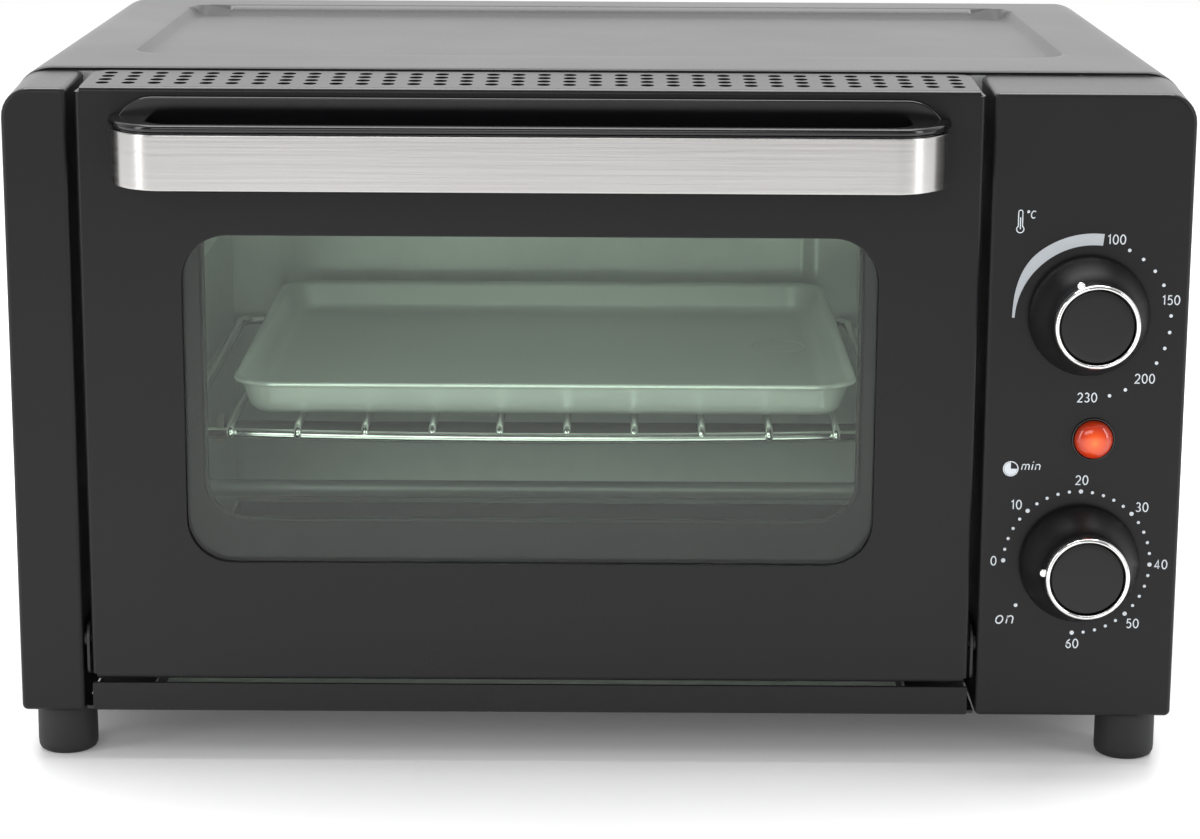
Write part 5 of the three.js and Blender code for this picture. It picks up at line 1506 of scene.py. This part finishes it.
class OVEN_OT_rack(bpy.types.Operator):
    """Builds the chromed wire rack"""

    bl_idname = "toaster_oven.rack"
    bl_label = "Rack"

    def execute(self, context):
        cavity = settings().cavity
        node = "wire_rack"
        radius, wire = 1.75, 1.25
        left, right = low(node, "X") + radius, high(node, "X") - radius
        y_back = high(node, "Y") - 1.5
        y_front = y_back - 187.3
        z = low(node, "Z") + radius
        y_bow = low(node, "Y") + radius
        corner_left = [(left, y_front + 7), (left + 0.6, y_front + 3.4), (left + 2.9, y_front + 0.9),
                       (left + 7, y_front - 0.2)]
        bowed = []
        for k in range(1, 24):
            t = k / 24
            x = left + 7 + (right - left - 14) * t
            bowed.append((x, y_front - 0.2 - (y_front - y_bow) * 4 * t * (1 - t)))
        corner_right = [(left + right - x, y) for x, y in reversed(corner_left)]
        rim = corner_left + bowed + corner_right
        rim += [(right, y_back - 7), (right - 0.6, y_back - 3.4), (right - 2.9, y_back - 0.7),
                (right - 7, y_back)]
        rim += [(left + 7, y_back), (left + 2.9, y_back - 0.7), (left + 0.6, y_back - 3.4),
                (left, y_back - 7)]
        frame_loop = rod("rack_frame", [(x, y, z) for x, y in rim], radius, 16, closed=True)
        complete(frame_loop, "rack", MATERIALS["rack_chrome"], (node,), sharp=80)
        start = y_front - 5.0
        wire_z = z + radius + wire - 0.3
        strand = rod("strand", [(0, start, -2.4), (0, start - 0.35, -1.1), (0, start + 0.4, 0.0),
                                (0, start + 2.2, 0.3), (0, y_back - 2, 0.3),
                                (0, y_back + 0.6, 0.0)], wire, 12)
        first = (left + right) / 2 * MM - cavity.wire_pitch * (cavity.rack_wires - 1) / 2
        wires = repeated("rack_wires", TREES["grid"], Piece=strand, Columns=cavity.rack_wires, Rows=1,
                         First=(first, 0, (wire_z - 0.3) * MM), Column_Step=(cavity.wire_pitch, 0, 0),
                         Row_Step=(0, 0, 0), Finish=MATERIALS["rack_chrome"])
        discard(strand)
        wires.data.shade_smooth()
        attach(wires, "rack")
        return {"FINISHED"}


class OVEN_OT_pan(bpy.types.Operator):
    """Builds the pressed baking pan with its rolled rim"""

    bl_idname = "toaster_oven.pan"
    bl_label = "Baking Pan"

    def execute(self, context):
        node = "baking_pan"
        x0, x1, y0, y1 = low(node, "X"), high(node, "X"), low(node, "Y"), high(node, "Y")
        z0, z1 = low(node, "Z"), high(node, "Z")

        def loop(inset, z):
            return [(x, y, z) for x, y in rounded_box(x0 + inset, x1 - inset, y0 + inset, y1 - inset,
                                                      max(3.0, 14 - inset), 10)]
        outside = [loop(1.0, z1 - 1.9), loop(0.25, z1 - 1.6), loop(0.0, z1 - 0.9), loop(0.3, z1 - 0.25),
                   loop(1.0, z1)]
        inside = [loop(2.0, z1 - 0.15), loop(2.9, z1 - 0.8), loop(3.4, z1 - 2.0), loop(5.2, z0 + 4.5),
                  loop(6.2, z0 + 2.4), loop(8.0, z0 + 1.2), loop(10.5, z0 + 0.8), loop(13.0, z0 + 0.8)]
        under = [loop(13.4, z0), loop(10.2, z0), loop(7.4, z0 + 0.5), loop(5.4, z0 + 2.0),
                 loop(4.4, z0 + 4.3),
                 loop(2.6, z1 - 2.0), loop(1.9, z1 - 1.5), loop(1.0, z1 - 1.9)]
        build = Builder()
        numbers = [build.ring(r) for r in reversed(inside)]
        numbers += [build.ring(r) for r in reversed(outside)]
        numbers += [build.ring(r) for r in reversed(under)]
        for a, b in zip(numbers, numbers[1:]):
            build.bridge(a, b)
        build.cap(numbers[0])
        under_floor = build.ring(loop(13.4, z0))
        build.cap(under_floor)
        pan = build.make("pan_pressing")
        mark = turned("pan_mark", [(8.6, -0.2), (8.9, 0.25), (9.5, 0.45), (10.1, 0.25), (10.4, -0.2),
                                   (8.6, -0.2)],
                      (x1 - 20, y1 - 66, z0 + 0.8), (0, 0, 1), 64)
        complete(mark, "pan", MATERIALS["pan_metal"], (), sharp=60)
        complete(pan, "pan", MATERIALS["pan_metal"], (node,), sharp=50)
        return {"FINISHED"}


class OVEN_OT_crumb_tray(bpy.types.Operator):
    """Builds the slide-out crumb tray with its folded front lip"""

    bl_idname = "toaster_oven.crumb_tray"
    bl_label = "Crumb Tray"

    def execute(self, context):
        node = "crumb_tray"
        x0, x1, y0, y1 = low(node, "X"), high(node, "X"), low(node, "Y"), high(node, "Y")
        z0, z1 = low(node, "Z"), high(node, "Z")
        lip = prism("tray_lip", rounded_box(x0, x1, z0, z1, 0.6, 3), "XZ", y0, y0 + 1.4)
        soften(lip, 0.35, 3, 50)
        complete(lip, "tray", MATERIALS["door_paint"], (node,), sharp=50)
        left, right = low("cavity_left_wall", "X") + 1.8, high("cavity_right_wall", "X") - 1.8
        floor = z0 + 1.0
        tub = prism("tray_tub", rounded_box(left, right, y0 + 0.8, y1, 1.2, 3), "XY", floor, floor + 7.3)
        well = prism("well", rounded_box(left + 0.8, right - 0.8, y0 + 1.7, y1 - 0.8, 1.0, 3), "XY",
                     floor + 0.8, floor + 9)
        carve(tub, well)
        soften(tub, 0.25, 2, 50)
        # Painted shade: the tray's walls are black so the gap under the door reads dark; only its upward
        # faces get the aluminised finish.
        complete(tub, "tray", MATERIALS["black_steel_and_painted_shade"], (), sharp=50)
        face_up(tub, MATERIALS["aluminised"])
        return {"FINISHED"}


# ---- back, base, feet ----------------------------------------------------------------
def screw_head(name, radius, height):
    """A pan-head screw with a cross recess, facing -Z to +Z at the origin."""
    head = turned(name, [(0, 0), (radius, 0), (radius, height * 0.35)]
                  + [(radius * math.cos(a), height * 0.35 + height * 0.65 * math.sin(a))
                     for a in (0.3, 0.6, 0.9, 1.2)] + [(0, height)], (0, 0, 0), (0, 1, 0), 20)
    for wide, tall in ((radius * 0.95, radius * 0.22), (radius * 0.22, radius * 0.95)):
        carve(head, box_piece("cross", -wide / 2, wide / 2, height * 0.45, height + 1, -tall / 2, tall / 2))
    return head


class OVEN_OT_back(bpy.types.Operator):
    """Dresses the back and the base, and adds the screws and the cord gland"""

    bl_idname = "toaster_oven.back"
    bl_label = "Back And Base"

    def execute(self, context):
        for name in ("back_panel", "front_frame"):
            paint_node(name, MATERIALS["zinc_plate"])
        # Painted shade: the base panel is black, though the real sheet is galvanised, so the strip seen
        # between the pillar and the tray stays dark.
        paint_node("base_panel", MATERIALS["black_steel_and_painted_shade"])
        paint_node("terminal_block", MATERIALS["resin_brown"])
        face = high("back_panel", "Y")
        left, right = low("back_panel", "X"), high("back_panel", "X")
        bottom, top = low("back_panel", "Z"), high("back_panel", "Z")
        places = [(x, face - 0.05, z) for x in (left + 9, (left + right) / 2, right - 9)
                  for z in (bottom + 9, top - 9)]
        places += [(left + 9, face - 0.05, (bottom + top) / 2), (right - 9, face - 0.05, (bottom + top) / 2)]
        screw = screw_head("back_screw", 3.2, 1.0)
        screws = repeated("back_screws", TREES["points"], places, Piece=screw, Finish=MATERIALS["zinc_plate"])
        discard(screw)
        screws.data.shade_smooth()
        screws.data.set_sharp_from_angle(angle=math.radians(40))
        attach(screws, "housing")
        node = "cord_gland"
        back = high(node, "Y")
        x, z = middle(node, "X"), middle(node, "Z")
        profile = [(3.8, 0.4), (4.2, 0), (7.2, 0), (7.8, 0.4), (8.0, 1.0), (8.0, 3.5), (7.7, 3.8), (6.5, 3.8),
                   (6.5, 5.4), (6.9, 5.6), (6.9, 6.6), (6.2, 7.6), (6.0, 12.0), (3.8, 12.0), (3.8, 0.4)]
        gland = turned("gland_bush", profile, (x, back, z), (0, -1, 0), 64)
        complete(gland, "housing", MATERIALS["rubber_black"], (node,), sharp=45)
        return {"FINISHED"}


class OVEN_OT_feet(bpy.types.Operator):
    """Builds the four moulded feet"""

    bl_idname = "toaster_oven.feet"
    bl_label = "Feet"

    def execute(self, context):
        for place in ("front_left", "front_right", "back_left", "back_right"):
            node = f"foot_{place}"
            x, y, top = middle(node, "X"), middle(node, "Y"), high(node, "Z")
            profile = [(0, top), (8.4, top), (8.9, top - 0.2), (9.2, top - 0.9), (9.35, top - 2.0),
                       (9.4, 3.0),
                       (9.25, 1.5), (8.8, 0.6), (8.0, 0.1), (7.4, 0.0), (6.2, 0.0), (6.0, 0.6), (0, 0.6)]
            peg = turned(f"peg_{place}", profile, (x, y, 0), (0, 0, 1), 64)
            complete(peg, "housing", MATERIALS["rubber_black"], (node,), sharp=50)
        return {"FINISHED"}


# ---- stage ---------------------------------------------------------------------------
class OVEN_OT_stage(bpy.types.Operator):
    """Sets the floor, the soft lights and the camera"""

    bl_idname = "toaster_oven.stage"
    bl_label = "Stage"

    def execute(self, context):
        look = settings().stage
        scene = bpy.context.scene
        scene.view_settings.view_transform = "Standard"
        floor = prism("floor", [(-9000, -3000), (9000, -3000), (9000, 40000), (-9000, 40000)], "XY", -20, 0)
        floor.data.materials.append(MATERIALS["stage_white"])

        world = bpy.data.worlds.new("Surround")
        world.use_nodes = True
        tree = world.node_tree
        background = tree.nodes["Background"]
        background.inputs["Strength"].default_value = look.sky
        where = tree.nodes.new("ShaderNodeTexCoord")
        split = node_in(tree, "ShaderNodeSeparateXYZ", (("Vector", where.outputs["Generated"]),))
        behind = node_in(tree, "ShaderNodeMapRange", (
            ("Value", split.outputs["Y"]), ("From Min", -0.45), ("From Max", 0.25),
            ("To Min", look.front_dim)))
        above = node_in(tree, "ShaderNodeMapRange", (
            ("Value", split.outputs["Z"]), ("From Min", 0.35), ("From Max", 0.95), ("To Max", 0.5)))
        shade = node_in(tree, "ShaderNodeMath", ((0, behind.outputs[0]), (1, above.outputs[0])),
                        operation="MAXIMUM")
        tree.links.new(shade.outputs[0], background.inputs["Color"])
        scene.world = world

        def soft_light(name, place, target, size, power, color=(1, 1, 1)):
            data = bpy.data.lights.new(name, "AREA")
            data.shape = "RECTANGLE"
            data.size, data.size_y = size
            data.energy = power
            data.color = color
            lamp = bpy.data.objects.new(name, data)
            lamp.location = place
            lamp.rotation_euler = (Vector(target) - Vector(place)).to_track_quat("-Z", "Y").to_euler()
            scene.collection.objects.link(lamp)
            return lamp
        soft_light("overhead", (0, 0.25, 1.7), (0, 0.1, 0.2), (1.8, 1.2), look.key_power)
        soft_light("front_fill", (-0.5, -2.2, 1.0), (0, 0, 0.12), (1.4, 0.7), look.fill_power)
        for name, x in (("left_strip", -1.25), ("right_strip", 1.25)):
            soft_light(name, (x, -0.75, 0.55), (0, -0.1, 0.12), (0.35, 1.0), look.strip_power)

        camera_data = bpy.data.cameras.new("camera")
        camera_data.lens = look.lens
        camera_data.sensor_width = 36.0
        camera = bpy.data.objects.new("camera", camera_data)
        turn = (Matrix.Rotation(math.radians(0.05), 4, "Z") @ Matrix.Rotation(math.radians(77.0), 4, "X")
                @ Matrix.Rotation(math.radians(0.3), 4, "Z"))
        camera.matrix_world = Matrix.Translation((0.0016, -1.0697, 0.3313)) @ turn
        scene.collection.objects.link(camera)
        scene.camera = camera
        return {"FINISHED"}


# ---- panel and registration ----------------------------------------------------------
PIECES = (OVEN_OT_shell, OVEN_OT_bezel, OVEN_OT_door_skin, OVEN_OT_door_inside, OVEN_OT_handle, OVEN_OT_knobs,
          OVEN_OT_pilot_light, OVEN_OT_dial_print, OVEN_OT_cavity, OVEN_OT_heaters, OVEN_OT_rack, OVEN_OT_pan,
          OVEN_OT_crumb_tray, OVEN_OT_back, OVEN_OT_feet)
TREES = {}


class OVEN_PT_panel(bpy.types.Panel):
    """Lists the pieces of the oven and their sizes"""

    bl_idname = "OVEN_PT_panel"
    bl_label = "Toaster Oven"
    bl_space_type = "VIEW_3D"
    bl_region_type = "UI"
    bl_category = "Toaster Oven"

    def draw(self, context):
        layout = self.layout
        for group in (context.scene.toaster_oven.finish, context.scene.toaster_oven.door,
                      context.scene.toaster_oven.control, context.scene.toaster_oven.cavity,
                      context.scene.toaster_oven.stage):
            column = layout.column(align=True)
            for key in group.bl_rna.properties.keys():
                if key not in ("rna_type", "name"):
                    column.prop(group, key)
        for piece in (OVEN_OT_finishes, *PIECES, OVEN_OT_stage):
            layout.operator(piece.bl_idname)


CLASSES = (OvenFinishSettings, OvenDoorSettings, OvenControlSettings, OvenCavitySettings, OvenStageSettings,
           OvenSettings, OVEN_OT_finishes, *PIECES, OVEN_OT_stage, OVEN_PT_panel)


def register():
    for item in CLASSES:
        bpy.utils.register_class(item)
    bpy.types.Scene.toaster_oven = bpy.props.PointerProperty(type=OvenSettings)


def unregister():
    del bpy.types.Scene.toaster_oven
    for item in reversed(CLASSES):
        bpy.utils.unregister_class(item)


def main():
    register()
    TREES.update(grid=grid_tree(), arc=arc_tree(), points=points_tree())
    for piece in (OVEN_OT_finishes, *PIECES, OVEN_OT_stage):
        group, name = piece.bl_idname.split(".")
        getattr(getattr(bpy.ops, group), name)()


if __name__ == "__main__":
    main()
